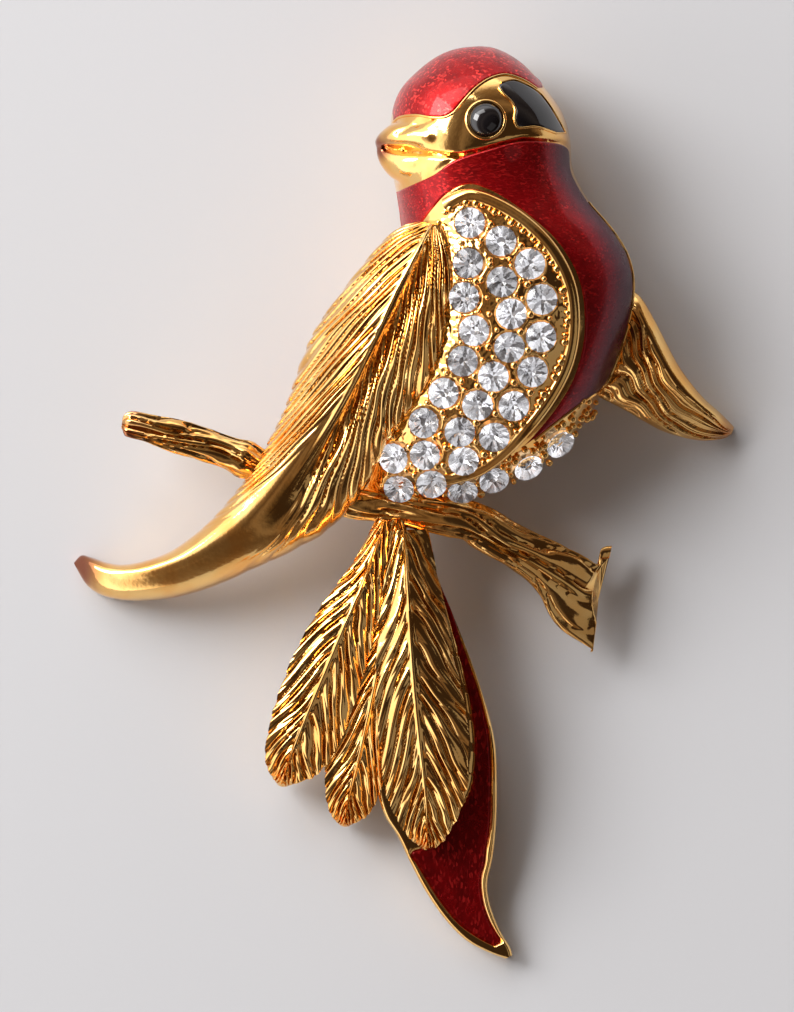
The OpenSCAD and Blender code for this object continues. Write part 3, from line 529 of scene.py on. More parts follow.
body = {"steps": 150, "sides": 84, "wall": 2.4, "hollow": (31, 7), "hollowSteps": 40, "hollowSides": 24,
        "beakSteps": 36, "beakSides": 40, "voxel": 0.2, "inlay": 0.45, "groundSink": 1.1, "seat": 1.9,
        "seatReach": 1.5, "beakTip": [[-3.6, 38.8]]}
mouthLine = [[-2.9, 38.75], [0.9, 38.25], [4.7, 37.9], [8.4, 37.7], [12.0, 38.3], [14.9, 38.9],
             [17.8, 39.4], [20.8, 39.4], [23.3, 39.3], [25.1, 38.9]]
jawLine = [[1.7, 34.9], [4.4, 35.8], [6.9, 37.1], [8.4, 37.7]]
browLine = [[-0.9, 40.2], [1.5, 41.0], [4.2, 41.8]]
headLines = [(mouthLine, 0.5, 0.22), (jawLine, 0.12, 0.2), (browLine, 0.25, 0.25)]  # line, depth, width


def archRings(x, y, z, left, right, floor):
    # an arch at each place along the length, closed by a flat foot between its ends
    arch = np.stack([x, np.broadcast_to(y[:, None], x.shape), z], -1)
    foot = np.stack([np.concatenate([right, left], 1), np.stack([y, y], 1), np.full((len(y), 2), floor)], -1)
    return np.concatenate([arch, foot], 1)


def torsoRings():
    turn = math.pi * np.clip(np.linspace(0, 1, body["steps"]), 0.006, 0.994)
    y = mix(brooch["bodyTop"] * unitY, brooch["bodyBottom"] * unitY, (1 - np.cos(turn)) / 2)
    left, right, rise = (v[:, None] for v in bodySection(y))
    arc = np.linspace(0, math.pi, body["sides"])
    c, s, k = np.cos(arc), np.maximum(np.sin(arc), 0), 2 / brooch["squareness"]
    x = (left + right) / 2 - (right - left) / 2 * np.sign(c) * np.abs(c)**k
    z = brooch["back"] + brooch["bodyEdge"] + rise * s**k
    return archRings(x, y, z, left, right, brooch["back"])


def hollowRings():
    t = np.linspace(0, 1, body["hollowSteps"])
    y = mix(body["hollow"][0], body["hollow"][1], t) * unitY
    left, right, rise = (v[:, None] for v in bodySection(y))
    ends = (np.sin(np.radians(mix(8, 172, t)))**0.5)[:, None]
    middle, half = (left + right) / 2, ((right - left) / 2 - body["wall"]) * ends
    deep = (rise + brooch["bodyEdge"] - body["wall"]) * ends
    arc = np.linspace(0, math.pi, body["hollowSides"])
    z = brooch["back"] + deep * (0.1 + 0.9 * np.maximum(np.sin(arc), 0)**0.7)
    return archRings(middle - half * np.cos(arc), y, z, middle - half, middle + half,
                     brooch["back"] - body["wall"])


def beakRings(table):
    rows = along(table, np.linspace(0, 1, body["beakSteps"]))
    middle = place(rows[:, :2])
    turn = np.linspace(0, 2 * math.pi, body["beakSides"], endpoint=False)
    y = middle[:, 1:] + rows[:, 2:3] * unitY * np.cos(turn)
    z = brooch["back"] + brooch["bodyHeight"] * (rows[:, 3:4] + rows[:, 4:5] * np.sin(turn))
    return np.stack([np.broadcast_to(middle[:, :1], y.shape), y, z], -1)


def makeBody():
    torso = loft("cast_body", torsoRings())
    hollow = loft("hollow", hollowRings())
    modify(torso, "BOOLEAN", operation="DIFFERENCE", object=hollow, solver="EXACT")
    bpy.data.objects.remove(hollow)
    beak = [loft("upper", beakRings(upperBeak)), loft("lower", beakRings(lowerBeak))]
    piece = join([torso] + beak, "cast_body")
    modify(piece, "REMESH", mode="VOXEL", voxel_size=body["voxel"] * mm)
    modify(piece, "SMOOTH", factor=0.5, iterations=5)
    points = corners(piece)
    flat = points[:, :2]
    upward = step(0.02, 0.2, cornerNormals(piece)[:, 2])
    front = upward * (points[:, 2] > brooch["back"] + brooch["bodyEdge"] + 0.1)
    fall = np.zeros(len(points))
    for field in (crownField, breastField, maskField):
        fall += body["inlay"] * (1 - step(-0.5, -0.15, outlineDistance(flat, fieldOutline(field, 40))))
    ground = outlineDistance(flat, fieldOutline(groundField, 60))
    fall += body["groundSink"] * (1 - step(-1.0, -0.6, ground))
    seat = body["seat"] * np.clip(body["seatReach"] - toStone(flat), 0, 1)
    groove = sum(depth * bell(lineDistance(flat, line), width) for line, depth, width in headLines)
    points[:, 2] -= np.maximum((fall + groove) * front, seat * upward)
    moveCorners(piece, points)
    # painted shade in the mouth, jaw and brow creases, following how deep they are carved
    paint(piece, "groove", np.clip(groove * front * 1.5, 0, 1))
    paint(piece, "wear", 1 - step(0.4, 1.6, length(flat - place(body["beakTip"]))))
    settleGold(piece, 50)


makeBody()
print("body made")


# wings and feathers

def waver(waves, t, u):
    # each wave has a size, a pace along the blade and a slant across it
    return sum(size * np.sin(t * pace + slant * u) for size, pace, slant in waves)


def barbs(phase, slant):
    # rounded ridges with finer ones over them
    ridge = np.abs(np.sin(math.pi * phase))**0.7
    fine = np.abs(np.sin(math.pi * (phase * 2.3 + slant)))
    return ridge * 0.85 + fine * 0.15


def bladeRings(shaft, outer, inner, heights, across, relief, edge, spread, bow=(0, 0)):
    # relief gives the lift of the face, how far barbs reach past the edge, and the grooves, which are painted
    # as shade; the underside is flat between the edges
    n = len(shaft)
    t, u = np.linspace(0, 1, n)[:, None], across[None, :]
    a = np.abs(u)
    edges = np.where((u < 0)[..., None], outer[:, None], inner[:, None])
    lift, out, groove = relief(*np.broadcast_arrays(t, u))
    flat = mix(shaft[:, None], edges, (a * (1 + spread * out * a**4))[..., None])
    bowed = 1 - (1 - a**2.3)**0.435
    fall = mix(a**1.8, bowed, mix(bow[0], bow[1], step(0.42, 0.62, t)))
    z = mix(heights[:, :1], np.where(u < 0, heights[:, 1:2], heights[:, 2:3]), fall) + lift
    top = np.concatenate([flat, z[..., None]], -1)
    under = []
    for share in (0.0, 0.03, 0.3, 0.6, 0.97, 1.0):
        p = mix(top[:, -1], top[:, 0], share)
        low = mix(heights[:, 2], heights[:, 1], share) - edge * (0.6 if share in (0.0, 1.0) else 1.0)
        p[:, 2] = np.maximum(low, 0)
        under.append(p[:, None])
    return np.concatenate([top] + under, 1), groove


frontWing = {"outerBarbs": 34, "innerBarbs": 24, "steps": 560, "across": 91, "depth": 0.5, "spine": 0.3,
             "edge": 1.2, "valley": 1.0, "height": 14.4, "spread": 0.035, "bow": (0.45, 1.0),
             "waves": [(0.16, 37, -6), (0.08, 83, 3), (0.02, 171, -9)], "tip": [[-49.5, -7.0]]}


def wingRelief(t, u):
    w = frontWing
    a, outside = np.abs(u), u < 0
    lean = np.where(outside, 0.1 + 0.04 * a, 0.42 - 0.16 * a)
    count = np.where(outside, w["outerBarbs"], w["innerBarbs"])
    phase = count * (t - lean * a) + waver(w["waves"], t, a)
    ridge = barbs(phase, 1.5 * a)
    last = np.where(outside, 0.42 + 0.24 * a, 0.5 + 0.28 * a)
    on = (1 - step(0.8, 1.0, t / last)) * step(0.04, 0.14, a) * step(0.0, 0.05, t)
    depth = w["depth"] * on * (0.75 + 0.3 * np.sin(phase * 2.1) * np.sin(t * 29 + 4 * a))
    valley = w["valley"] * bell(a - 0.2, 0.13) * (u > 0) * step(0.05, 0.16, t) * (1 - step(0.4, 0.62, t))
    spine = w["spine"] * bell(a - 0.02, 0.07) * (1 - step(0.4, 0.55, t))
    lift = depth * (ridge - 0.55) - valley + spine
    # painted shade in the barbs' grooves and in the valley beside the shaft
    groove = np.clip((1 - ridge) * on * 0.9 + valley * 0.7, 0, 1)
    return lift * step(0, 0.03, 1 - t), (ridge - 0.45) * on, groove


def makeFrontWing():
    w = frontWing
    t = np.linspace(0, 1, w["steps"])
    rows = along(wingRows, t)
    across = np.linspace(-1, 1, w["across"])
    across = np.sign(across) * np.abs(across)**1.15
    shaft, outer, inner = place(rows[:, :2]), place(rows[:, 2:4]), place(rows[:, 4:6])
    # past the barbs the ridge runs to the middle of the smooth horn
    shaft = mix(shaft, mix(outer, inner, 0.45), 0.9 * step(0.42, 0.6, t)[:, None])
    rings, groove = bladeRings(shaft, outer, inner, rows[:, 6:9] * w["height"] / 100, across, wingRelief,
                               w["edge"], w["spread"], w["bow"])
    piece = loft("front_wing", rings)
    tip = place(w["tip"])
    colour(piece, rings, groove, lambda p: 1 - step(0.5, 3.0, length((p[:, :2] - tip) * [1, 0.6])))
    settleGold(piece, 60)


makeFrontWing()
print("front wing made")


farWing = {"steps": 200, "across": 56, "sideAcross": 14, "flutes": 4.4, "height": 7.0, "edge": 1.2,
           "depth": 0.42, "tip": [[49.6, 8.0]]}


def makeFarWing():
    w = farWing
    rows = along(farWingRows, np.linspace(0, 1, w["steps"]))
    low, ridge, high = place(rows[:, :2]), place(rows[:, 2:4]), place(rows[:, 4:6])
    ridgeZ, lowZ, highZ = (rows[:, k:k + 1] * w["height"] / 100 for k in (6, 7, 8))
    t = np.linspace(0, 1, w["steps"])[:, None]
    u = np.linspace(0, 1, w["across"])[None, :]
    ragged = 0.35 * np.sin(9 * t + 5 * u) + 0.2 * np.sin(31 * t - 7 * u) * (1 - t)
    wave = 0.8 * np.abs(np.sin(math.pi * (w["flutes"] * u + 2.6 * t + ragged)))**0.6
    wave += 0.2 * np.abs(np.sin(math.pi * (w["flutes"] * 2.6 * u + 5.5 * t + 2 * ragged)))
    fade = step(0, 0.12, 1 - t) * step(0, 0.08, u) * step(0, 0.08, t)
    z = mix(lowZ, ridgeZ, u**0.7) + w["depth"] * (wave - 0.4) * fade
    top = np.concatenate([mix(low[:, None], ridge[:, None], u[..., None]), z[..., None]], -1)
    s = np.linspace(0.1, 1, w["sideAcross"])[None, :]
    back = np.concatenate([mix(ridge[:, None], high[:, None], s[..., None]),
                           mix(ridgeZ, highZ, s**2)[..., None]], -1)
    feet = [np.concatenate([p, np.maximum(h - w["edge"], 0)], 1)[:, None]
            for p, h in ((high, highZ), (ridge, np.minimum(lowZ, highZ)), (low, lowZ))]
    rings = np.concatenate([top, back] + feet, 1)
    piece = loft("far_wing", rings)
    tip = place(w["tip"])
    # painted shade in the hollows between the flutes; the tip's colour is real wear
    colour(piece, rings, (1 - wave) * fade, lambda p: 0.6 * (1 - step(0.5, 2.5, length(p[:, :2] - tip))))
    settleGold(piece, 60)


makeFarWing()
print("far wing made")


feathers = {"steps": 420, "across": 61, "width": 7.6, "height": 8.2, "droop": 0.8, "sweep": 0.17,
            "barbs": 14, "lean": 0.1, "depth": 0.5, "spine": 0.35, "edge": 2.0, "spread": 0.06,
            "waves": [(0.12, 31, 3), (0.18, 17, -4), (0.03, 90, 9)]}


def featherRelief(t, u):
    w, a = feathers, np.abs(u)
    phase = w["barbs"] * (t - w["lean"] * a) + 0.5 * (u > 0) + waver(w["waves"], t, u)
    ridge = barbs(phase, 2 * a)
    on = step(0.04, 0.16, a) * step(0.0, 0.04, 1 - t)
    on = on * (0.8 + 0.3 * np.sin(phase * 2.1) * np.sin(t * 23 + 5 * a))
    lift = w["depth"] * (ridge - 0.6) * on + w["spine"] * bell(a, 0.08)
    # the third value is painted shade between the barbs
    return lift * step(0, 0.05, 1 - t), (ridge - 0.4) * on, np.clip((1 - ridge) * on, 0, 1)


def makeFeather(name, table):
    # the barbs sweep ahead of the shaft, so each ring's edges come from further along the table
    w = feathers
    t = np.linspace(0, 1, w["steps"])
    ahead = t + w["sweep"] * 4 * t * (1 - t)
    here, there = along(table, t), along(table, ahead)
    before, after = along(table, np.maximum(ahead - 0.02, 0)), along(table, np.minimum(ahead + 0.02, 1))
    way = unit(place(after[:, :2] - before[:, :2]))
    side = np.stack([way[:, 1], -way[:, 0]], 1) * w["width"]
    root = place(there[:, :2])
    z = here[:, 4] * w["height"]
    heights = np.stack([z, z - w["droop"], z - w["droop"]], 1)
    rings, groove = bladeRings(place(here[:, :2]), root + side * there[:, 2:3], root - side * there[:, 3:4],
                               heights, np.linspace(-1, 1, w["across"]), featherRelief, w["edge"],
                               w["spread"])
    piece = loft(name, rings)
    colour(piece, rings, groove, lambda p: np.zeros(len(p)))
    settleGold(piece, 60)


makeFeather("left_feather", leftFeather)
makeFeather("middle_feather", middleFeather)
makeFeather("top_feather", topFeather)


# long feather: a gold plate with a raised rim round its enamel

longPlate = {"steps": 260, "across": 60, "thick": 1.4, "rim": 0.35, "curl": 0.3, "inlay": 0.3,
             "rootHeight": 6.2, "tipHeight": 1.4, "fall": 1.7}
redTailField = tailField[:8] + [[5.2, -36.9, 13.0, -35.2], [1.2, -38.2, 12.4, -38.0],
                                [2.0, -39.4, 12.2, -39.4], [3.4, -41.1, 11.6, -41.3]] + tailField[11:]


def featherFace(x, y):
    t = np.clip(-np.asarray(y) / (brooch["length"] / 2), 0, 1)
    return mix(longPlate["rootHeight"], longPlate["tipHeight"], t**longPlate["fall"])


def makeLongFeather():
    w = longPlate
    rows = along(longFeather, np.linspace(0, 1, w["steps"]))
    a, b = place(rows[:, :2]), place(rows[:, 2:4])
    u = (1 - np.cos(np.linspace(0, math.pi, w["across"])))[None, :, None] / 2
    flat = mix(a[:, None], b[:, None], u)
    n, m = flat.shape[:2]
    points = flat.reshape(-1, 2)
    gap = outlineDistance(points, fieldOutline(redTailField, 60))
    edge = np.minimum(u[..., 0], 1 - u[..., 0]) * length(b - a)[:, None]
    curl = w["curl"] * (1 - np.clip(edge.ravel() / 0.3, 0, 1))**2
    z = featherFace(points[:, 0], points[:, 1]) + w["rim"] * step(-0.1, 0.2, gap) - curl
    z -= w["inlay"] * (1 - step(-0.35, -0.1, gap))
    top = np.concatenate([flat, z.reshape(n, m, 1)], -1)
    under = []
    for share in (0.0, 0.5, 1.0):
        p = mix(top[:, -1], top[:, 0], share)
        p[:, 2] = featherFace(p[:, 0], p[:, 1]) - w["thick"]
        under.append(p[:, None])
    piece = loft("long_feather", np.concatenate([top] + under, 1))
    settleGold(piece, 50)


makeLongFeather()
print("feathers made")


# branch

branch = {"thick": 2.9, "height": 14.4, "steps": 300, "sides": 64, "bark": 0.42, "furrows": 5.5,
          "knotAt": -24.0, "knot": 0.25, "scoopAhead": 4.35, "scoopSize": 5.07, "wornEnd": -23.2}


def barkRelief(run, turn):
    # furrows that wander round the branch, with knots
    bark = np.zeros((len(run), len(turn)))
    for i, far in enumerate(run):
        for j, angle in enumerate(turn):
            c, s = math.cos(angle), math.sin(angle)
            turned = angle + noise.noise(Vector((c * 1.2, s * 1.2, far / 6))) * 0.8
            knot = noise.noise(Vector((c * 2, s * 2, far / 2.5 + 7)))
            bark[i, j] = abs(math.sin(branch["furrows"] * turned)) + 0.5 * knot
    return np.clip(bark, 0, 1)**0.7


def makeBranch():
    w = branch
    rows = along(branchRows, np.linspace(0, 1, w["steps"]))
    middle = place(rows[:, :2])
    way = np.gradient(middle, axis=0)
    run = np.concatenate([[0], np.cumsum(length(way)[1:])])
    way = unit(way)
    side = np.stack([way[:, 1], -way[:, 0]], 1)
    turn = np.linspace(0, 2 * math.pi, w["sides"], endpoint=False)
    bark = barkRelief(run, turn)
    swell = w["knot"] * bell(run - np.interp(w["knotAt"], rows[:, 0], run), 0.8)[:, None]
    wide = rows[:, 2:3] * w["thick"] + swell - w["bark"] * (1 - bark)
    deep = rows[:, 3:4] * w["thick"] + swell - w["bark"] * (1 - bark)
    flat = middle[:, None] + side[:, None] * (wide * np.cos(turn))[..., None]
    z = rows[:, 4:5] * w["height"] + deep * np.sin(turn)
    # the broken end is hollowed by a round scoop that stands just past it
    scoop = middle[-1] + [w["scoopAhead"], 0]
    out = flat - scoop
    flat = np.where(length(out)[..., None] < w["scoopSize"], scoop + unit(out) * w["scoopSize"], flat)
    rings = np.concatenate([flat, z[..., None]], -1)
    piece = loft("branch", rings)
    # painted shade in the bark's furrows; the worn end is real wear
    colour(piece, rings, 1 - bark, lambda p: 1 - step(0.8, 3.2, p[:, 0] - w["wornEnd"]))
    settleGold(piece, 60)


makeBranch()
print("branch made")


# stone ground, its rim and beads

def makeGround():
    w = pave
    n, m = w["steps"]
    rows = along(groundField, np.linspace(0, 1, n))
    flat = mix(place(rows[:, :2])[:, None], place(rows[:, 2:4])[:, None], np.linspace(0, 1, m)[None, :, None])
    points = flat.reshape(-1, 2)
    z = bodyFace(points[:, 0], points[:, 1]) + w["rise"] - 0.1
    z -= w["well"] * np.clip(w["wellReach"] - toStone(points), 0, 1)
    z += 0.05 * np.array([noise.noise(Vector((x / w["grain"], y / w["grain"], 0))) for x, y in points])
    top = np.concatenate([flat, z.reshape(n, m, 1)], -1)
    foot = top[:, ::-8].copy()
    foot[..., 2] = bodyFace(foot[..., 0].ravel(), foot[..., 1].ravel()).reshape(foot.shape[:2]) - 0.7
    piece = loft("stone_ground", np.concatenate([top, foot], 1))
    # painted shade round each stone, in its well
    paint(piece, "groove", 0.45 * (1 - step(1.2, 1.5, toStone(corners(piece)[:, :2]))))
    settleGold(piece, 40)


def facePath(flat, face, lift):
    return np.concatenate([flat, (face(flat[:, 0], flat[:, 1]) + lift)[:, None]], 1)


def makeWire(name, flat, face, radius, lift, squash=1.0, sides=14):
    # a wire that follows a face, upright oval where it is squashed
    path = facePath(flat, face, lift)
    way = unit(np.gradient(path, axis=0))
    side = unit(np.cross(way, [0, 0, 1.0]))
    up = np.cross(side, way)
    turn = np.linspace(0, 2 * math.pi, sides, endpoint=False)[None, :, None]
    ring = side[:, None] * np.cos(turn) + squash * up[:, None] * np.sin(turn)
    piece = loft(name, path[:, None] + radius * ring)
    settleGold(piece, 60)


def beadSpots():
    # beads stand beside each pair of neighbouring stones, along the ground's two sides and in rows
    # on the belly, wherever there is room; the second value is how many stand on the stone ground
    w = pave
    spots = []

    def offer(p, gap):
        if toStone(p[None])[0] > gap and all(length(p - q) > w["beadGap"] for q in spots):
            spots.append(p)

    for i, here in enumerate(stonePlaces):
        for there in stonePlaces[i + 1:]:
            way = there - here
            if length(way) < w["pitch"] * 1.25:
                across = np.array([way[1], -way[0]]) / length(way)
                for s in (-1, 1):
                    offer((here + there) / 2 + across * s * 0.72, 1.36)
    rows = along(groundField, np.linspace(0.02, 0.93, 60))
    inner, outer = place(rows[:, :2]), place(rows[:, 2:4])
    inward = unit(inner - outer)
    for p in inner - inward * 0.4:
        offer(p, 1.42)
    for p in outer + inward * 0.85:
        offer(p + 0.1 * np.array([math.sin(p[1] * 9), math.cos(p[1] * 7)]), 1.3)
    raised = len(spots)
    belly = place(along(w["bellyLine"], np.linspace(0, 1, 34)))
    way = unit(np.gradient(belly, axis=0))
    inward = np.stack([-way[:, 1], way[:, 0]], 1)
    for row in np.arange(0, 1.3, 0.4):
        for k, p in enumerate(belly + inward * row):
            offer(p + 0.12 * np.array([math.sin(k * 5.1 + row * 7), math.cos(k * 3.7 + row * 9)]), 1.2)
    return np.array(spots), raised


def makeBeads():
    spots, raised = beadSpots()
    x, y = spots[:, 0], spots[:, 1]
    z = bodyFace(x, y) + np.where(np.arange(len(spots)) < raised, pave["rise"], 0.1)
    beads = []
    for p, h, up in zip(spots, z, faceNormal(bodyFace, x, y)):
        centre = Vector((p[0], p[1], h)) * mm + Vector(up) * 0.02 * mm
        size = pave["bead"] * mm * (1 + 0.25 * math.sin(p[0] * 9 + p[1] * 17))
        bpy.ops.mesh.primitive_ico_sphere_add(subdivisions=2, radius=size, location=centre)
        beads.append(bpy.context.object)
    piece = join(beads, "stone_beads")
    bakePlace(piece)
    settleGold(piece, 70)


makeGround()
rows = along(groundField, np.linspace(0, 0.955, 130))
makeWire("stone_rim", mix(place(rows[:, 2:4]), place(rows[:, :2]), pave["rimIn"]), bodyFace, pave["rim"],
         pave["rise"], squash=0.75)
makeBeads()
print("stone ground made")


# paste stones

cut = [  # sides, radius as a share of the stone's, height, turn
    (8, 0.56, 0.42, 0), (8, 0.8, 0.27, 22.5), (16, 1.0, 0.04, 11.25), (16, 1.0, -0.04, 11.25),
    (8, 0.62, -0.5, 0), (8, 0.3, -0.84, 22.5), (4, 0.03, -1.05, 0)]


def makeStoneShape():
    parts = []
    for count, share, height, spin in cut:
        bpy.ops.mesh.primitive_circle_add(vertices=count, radius=pave["stone"] * mm * share,
                                          location=(0, 0, height * mm), rotation=(0, 0, math.radians(spin)))
        parts.append(bpy.context.object)
    shape = join(parts, "stoneShape")
    bakePlace(shape)
    bpy.ops.object.mode_set(mode="EDIT")
    bpy.ops.mesh.select_all(action="SELECT")
    bpy.ops.mesh.convex_hull()
    bpy.ops.mesh.normals_make_consistent(inside=False)
    bpy.ops.object.mode_set(mode="OBJECT")
    return shape


def pasteGlass():
    finish = newFinish("pasteGlass")
    haze = finish.noise(0.6, 2.0)
    return finish.done({"Base Color": (0.97, 0.98, 1.0, 1), "Roughness": haze * 0.02, "IOR": 1.6,
                        "Transmission Weight": 1.0, "Normal": finish.bump(haze, 0.002)})


def foil():
    # foil behind the glass, with painted glints: each back facet gets a painted brightness, dark to bright, and
    # a painted glow that follows it
    finish = newFinish("foil")
    haze = finish.noise(0.5, 2.0)
    tone = finish.attribute("facet")
    tint = finish.blend(tone, (0.18, 0.15, 0.12, 1), (1.0, 1.0, 1.0, 1))
    paintedGlow = finish.blend(tone**1.6, (0.03, 0.03, 0.035, 1), (0.95, 0.95, 1.0, 1))
    return finish.done({"Base Color": tint, "Metallic": 1.0, "Roughness": haze * 0.1 + 0.2,
                        "Normal": finish.bump(haze, 0.004), "Emission Color": paintedGlow,
                        "Emission Strength": 1.0})


def makeStones():
    shape = makeStoneShape()
    glassFinish, foilFinish = pasteGlass(), foil()
    ups = unit(faceNormal(bodyFace, stonePlaces[:, 0], stonePlaces[:, 1]) + [0, 0, pave["lean"]])
    source = np.array([v.co[:] for v in shape.data.vertices])
    for k, (p, up) in enumerate(zip(facePath(stonePlaces, bodyFace, 0), ups)):
        mesh = shape.data.copy()
        piece = bpy.data.objects.new(f"paste_{k + 1:02d}", mesh)
        bpy.context.collection.objects.link(piece)
        lift = pave["rise"] if k < len(stonePlaces) - pave["belly"] else pave["bellyRise"]
        tilt = Vector((0, 0, 1)).rotation_difference(Vector(up)).to_matrix()
        turn = np.array(tilt @ Matrix.Rotation(k * 2.4, 3, "Z"))
        mesh.vertices.foreach_set("co", (source @ turn.T + (p + up * lift) * mm).ravel())
        mesh.update()
        mesh.materials.append(glassFinish)
        mesh.materials.append(foilFinish)
        tones = mesh.attributes.new("facet", "FLOAT", "FACE")
        for face in mesh.polygons:
            face.use_smooth = False
            face.material_index = 1 if face.normal.dot(Vector(up)) < -0.05 else 0
            # painted glint: each facet's brightness is set by its index and its stone, and some stones are
            # painted dimmer
            tone = (face.index * 0.618 + k * 0.37 + 0.31 * math.sin(face.index * k + k)) % 1
            tones.data[face.index].value = tone * (0.68 + 0.32 * math.cos(k * 2.7)**2)
        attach(piece, "root")
        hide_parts(f"stone_{k + 1:02d}")
    bpy.data.objects.remove(shape)


makeStones()
print("stones made")


# enamel

enamel = {"lift": 0.11, "bevel": 0.2, "round": 0.22, "sink": 0.3}
redCrownField = [[-1.6, 41.6, -1.75, 42.5], [-0.6, 42.1, -1.2, 44.0]] + crownField[2:]
redBreastField = [[-0.9, 29.4, -1.2, 34.0], [1.7, 29.7, 1.6, 34.7]] + breastField[2:] + [[15.9, 4.9, 16.8, 5.6]]


def makeEnamel(name, node, field, face, grid, finish, grow=0.0, shade=None):
    # the top stands off the face along its slope, and the foot is sunk in it
    w = enamel
    n, m = grid
    rows = along(field, (1 - np.cos(np.linspace(0, math.pi, n))) / 2)
    a, b = place(rows[:, :2]), place(rows[:, 2:4])
    across = (b - a) / np.maximum(length(b - a), 1e-6)[:, None]
    ends = np.clip(6 * np.linspace(0, 1, n) * np.linspace(1, 0, n), 0, 1)[:, None]
    b = b + across * grow * ends
    u = (1 - np.cos(np.linspace(0, math.pi, m)))[None, :, None] / 2
    flat = mix(a[:, None], b[:, None], u)
    if face is bodyFace:
        left, right = bodySection(flat[..., 1].ravel())[:2]
        flat[..., 0] = np.clip(flat[..., 0], left.reshape(n, m), right.reshape(n, m))
    points = flat.reshape(-1, 2)
    outline = np.concatenate([flat[:, 0], flat[::-1, -1]])
    gap = np.clip(-outlineDistance(points, outline), 0, None)
    bevel = 1 - np.clip(gap / w["bevel"], 0, 1)
    rise = w["lift"] - w["round"] * (1 - np.sqrt(np.clip(1 - bevel**2, 0, 1)))
    base = facePath(points, face, 0)
    out = faceNormal(face, points[:, 0], points[:, 1])
    top = (base + out * rise[:, None]).reshape(n, m, 3)
    foot = (base - out * w["sink"] - [0, 0, w["sink"] / 2]).reshape(n, m, 3)[:, ::-6]
    piece = loft(name, np.concatenate([top, foot], 1))
    if shade is not None:
        paint(piece, "shade", shade(corners(piece)))
    shadeSmooth(piece, 60)
    settle(piece, [node], finish)


def breastShade(p):
    # painted shade: dark towards the right side, where the breast turns down
    left, right = bodySection(p[:, 1])[:2]
    return step(0.6, 0.97, (p[:, 0] - (left + right) / 2) / ((right - left) / 2))


makeEnamel("crown_red", "crown_enamel", redCrownField, bodyFace, (120, 60), redCrown, grow=0.38)
makeEnamel("breast_red", "breast_enamel", redBreastField, bodyFace, (220, 60), redBreast,
           grow=0.1, shade=breastShade)
makeEnamel("mask_black", "mask_enamel", maskField, bodyFace, (60, 40), blackGloss)
makeEnamel("tail_red", "tail_enamel", redTailField, featherFace, (160, 40), redTail)

rows = along(breastField, np.linspace(0.5, 1, 150))
makeWire("breast_edge", place(rows[:, 2:4]) + [0.16, 0.0], bodyFace, radius=0.14, lift=0.05)
makeWire("mask_edge", fieldOutline(maskField, 60, 0.06)[:-1], bodyFace, radius=0.1, lift=0.04)
rows = along(redCrownField, np.linspace(0, 1, 120))
makeWire("crown_edge", place(rows[:, :2]), bodyFace, radius=0.11, lift=0.03)
print("enamel made")


# eye

eye = {"place": (12.2, 41.6), "width": 2.8, "dome": 0.9, "bezel": 0.3}


def makeEye():
    spot = place([eye["place"]])
    x, y = spot[:, 0], spot[:, 1]
    up = Vector(faceNormal(bodyFace, x, y)[0])
    centre = Vector(facePath(spot, bodyFace, 0)[0]) * mm
    turn = Vector((0, 0, 1)).rotation_difference(up).to_euler()
    radius, wire = eye["width"] / 2 * mm, eye["bezel"] / 2 * mm
    bpy.ops.object.select_all(action="DESELECT")
    bpy.ops.mesh.primitive_uv_sphere_add(segments=64, ring_count=32, radius=radius, location=centre,
                                         rotation=turn, scale=(0.98, 0.98, eye["dome"] / eye["width"] * 2))
    bead = bpy.context.object
    bpy.ops.mesh.primitive_torus_add(major_radius=radius + wire, minor_radius=wire, major_segments=72,
                                     minor_segments=16, location=centre, rotation=turn)
    bezel = bpy.context.object
    for piece, name, node, slot, finish in ((bead, "eye_bead", "eye", "black_glass", blackGloss),
                                            (bezel, "eye_bezel", "casting", "gold", castGold)):
        piece.name = name
        bakePlace(piece)
        shadeSmooth(piece, 80)
        settle(piece, [node], finish)


makeEye()


# pin keeps its shape and gets a brushed finish

def pinFinish():
    finish = newFinish("pinMetal")
    brushed = finish.noise(0.3, 3.0, stretch=(0.2, 1, 1))
    tint = finish.blend(brushed, (0.75, 0.55, 0.28, 1), (0.6, 0.42, 0.2, 1))
    return finish.done({"Base Color": tint, "Metallic": 1.0, "Roughness": brushed * 0.2 + 0.25,
                        "Normal": finish.bump(brushed, 0.01)})


pinMetal = pinFinish()
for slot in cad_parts["pin_clasp"].material_slots:
    slot.material = pinMetal
print("eye and pin made")


# paper, light and camera

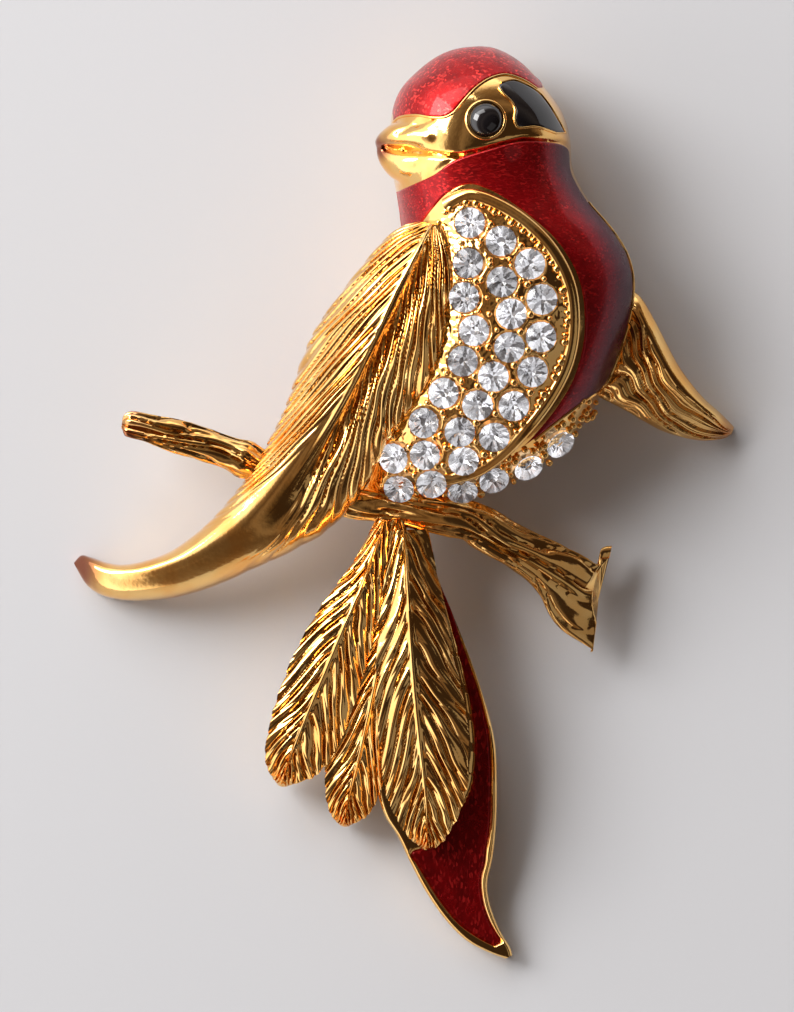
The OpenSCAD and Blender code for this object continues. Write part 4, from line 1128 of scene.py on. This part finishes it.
studio = {"paper": 1.2, "away": 900.0, "viewHeight": 82.95, "aim": (-0.574, -0.205, 6.0), "sensor": 36,
          "roomStrength": 1.6, "roomFacing": (0.5, -0.2, 0.62)}
lamps = [  # name, place, width, height, power, tint
    ("window", (-0.55, 0.3, 0.45), 0.38, 0.43, 5.3, (1.0, 0.985, 0.97)),
    ("skylight", (-0.18, 0.42, 0.32), 0.34, 0.2, 0.75, (1.0, 0.99, 0.98)),
    ("fill", (0.4, -0.3, 0.5), 0.5, 0.5, 0.2, (1.0, 0.97, 0.95))]
roomTones = [(0.0, (1.15, 1.13, 1.12, 1)), (0.08, (0.8, 0.77, 0.75, 1)), (0.18, (0.15, 0.115, 0.09, 1)),
             (0.36, (0.06, 0.04, 0.028, 1)), (0.46, (0.14, 0.105, 0.08, 1)), (0.6, (0.022, 0.015, 0.011, 1))]


def paperFinish():
    finish = newFinish("paper")
    cloud = finish.noise(60, 2.0)
    tint = finish.blend(cloud, (0.665, 0.675, 0.705, 1), (0.64, 0.65, 0.68, 1))
    return finish.done({"Base Color": tint, "Roughness": 0.9,
                        "Normal": finish.bump(finish.noise(0.4, 3.0), 0.01)})


def softLight(name, spot, width, height, power, tint):
    light = bpy.data.lights.new(name, "AREA")
    light.shape = "RECTANGLE"
    light.size, light.size_y = width, height
    light.energy = power
    light.color = tint
    lamp = bpy.data.objects.new(name, light)
    lamp.location = spot
    lamp.rotation_euler = (-Vector(spot)).to_track_quat("-Z", "Y").to_euler()
    bpy.context.collection.objects.link(lamp)


def makeRoom():
    # bright from the low left and the top, dark above and to the right
    world = bpy.data.worlds.new("room")
    room = Finish(world)
    way = room.node("ShaderNodeTexCoord", out="Generated")
    facing = room.node("ShaderNodeVectorMath", {"operation": "DOT_PRODUCT"},
                       {0: way, 1: studio["roomFacing"]}, out="Value")
    tones = room.node("ShaderNodeValToRGB", {"stops": roomTones}, {0: facing})
    back = room.node("ShaderNodeBackground", {}, {"Color": tones, "Strength": studio["roomStrength"]})
    room.node("ShaderNodeOutputWorld", {}, {"Surface": back})
    bpy.context.scene.world = world


def makeCamera():
    x, y, z = studio["aim"]
    optics = bpy.data.cameras.new("camera")
    optics.sensor_width = studio["sensor"]
    optics.lens = studio["sensor"] * studio["away"] / studio["viewHeight"]
    optics.clip_end = 10
    camera = bpy.data.objects.new("camera", optics)
    camera.location = (x * mm, y * mm, (z + studio["away"]) * mm)
    bpy.context.collection.objects.link(camera)
    bpy.context.scene.camera = camera
    bpy.context.scene.view_settings.view_transform = "Standard"


bpy.ops.object.select_all(action="DESELECT")
bpy.ops.mesh.primitive_plane_add(size=studio["paper"], location=(0, 0, 0))
paper = bpy.context.object
paper.name = "paper"
paper.data.materials.append(paperFinish())
for lamp in lamps:
    softLight(*lamp)
makeRoom()
makeCamera()
print("light and camera set")
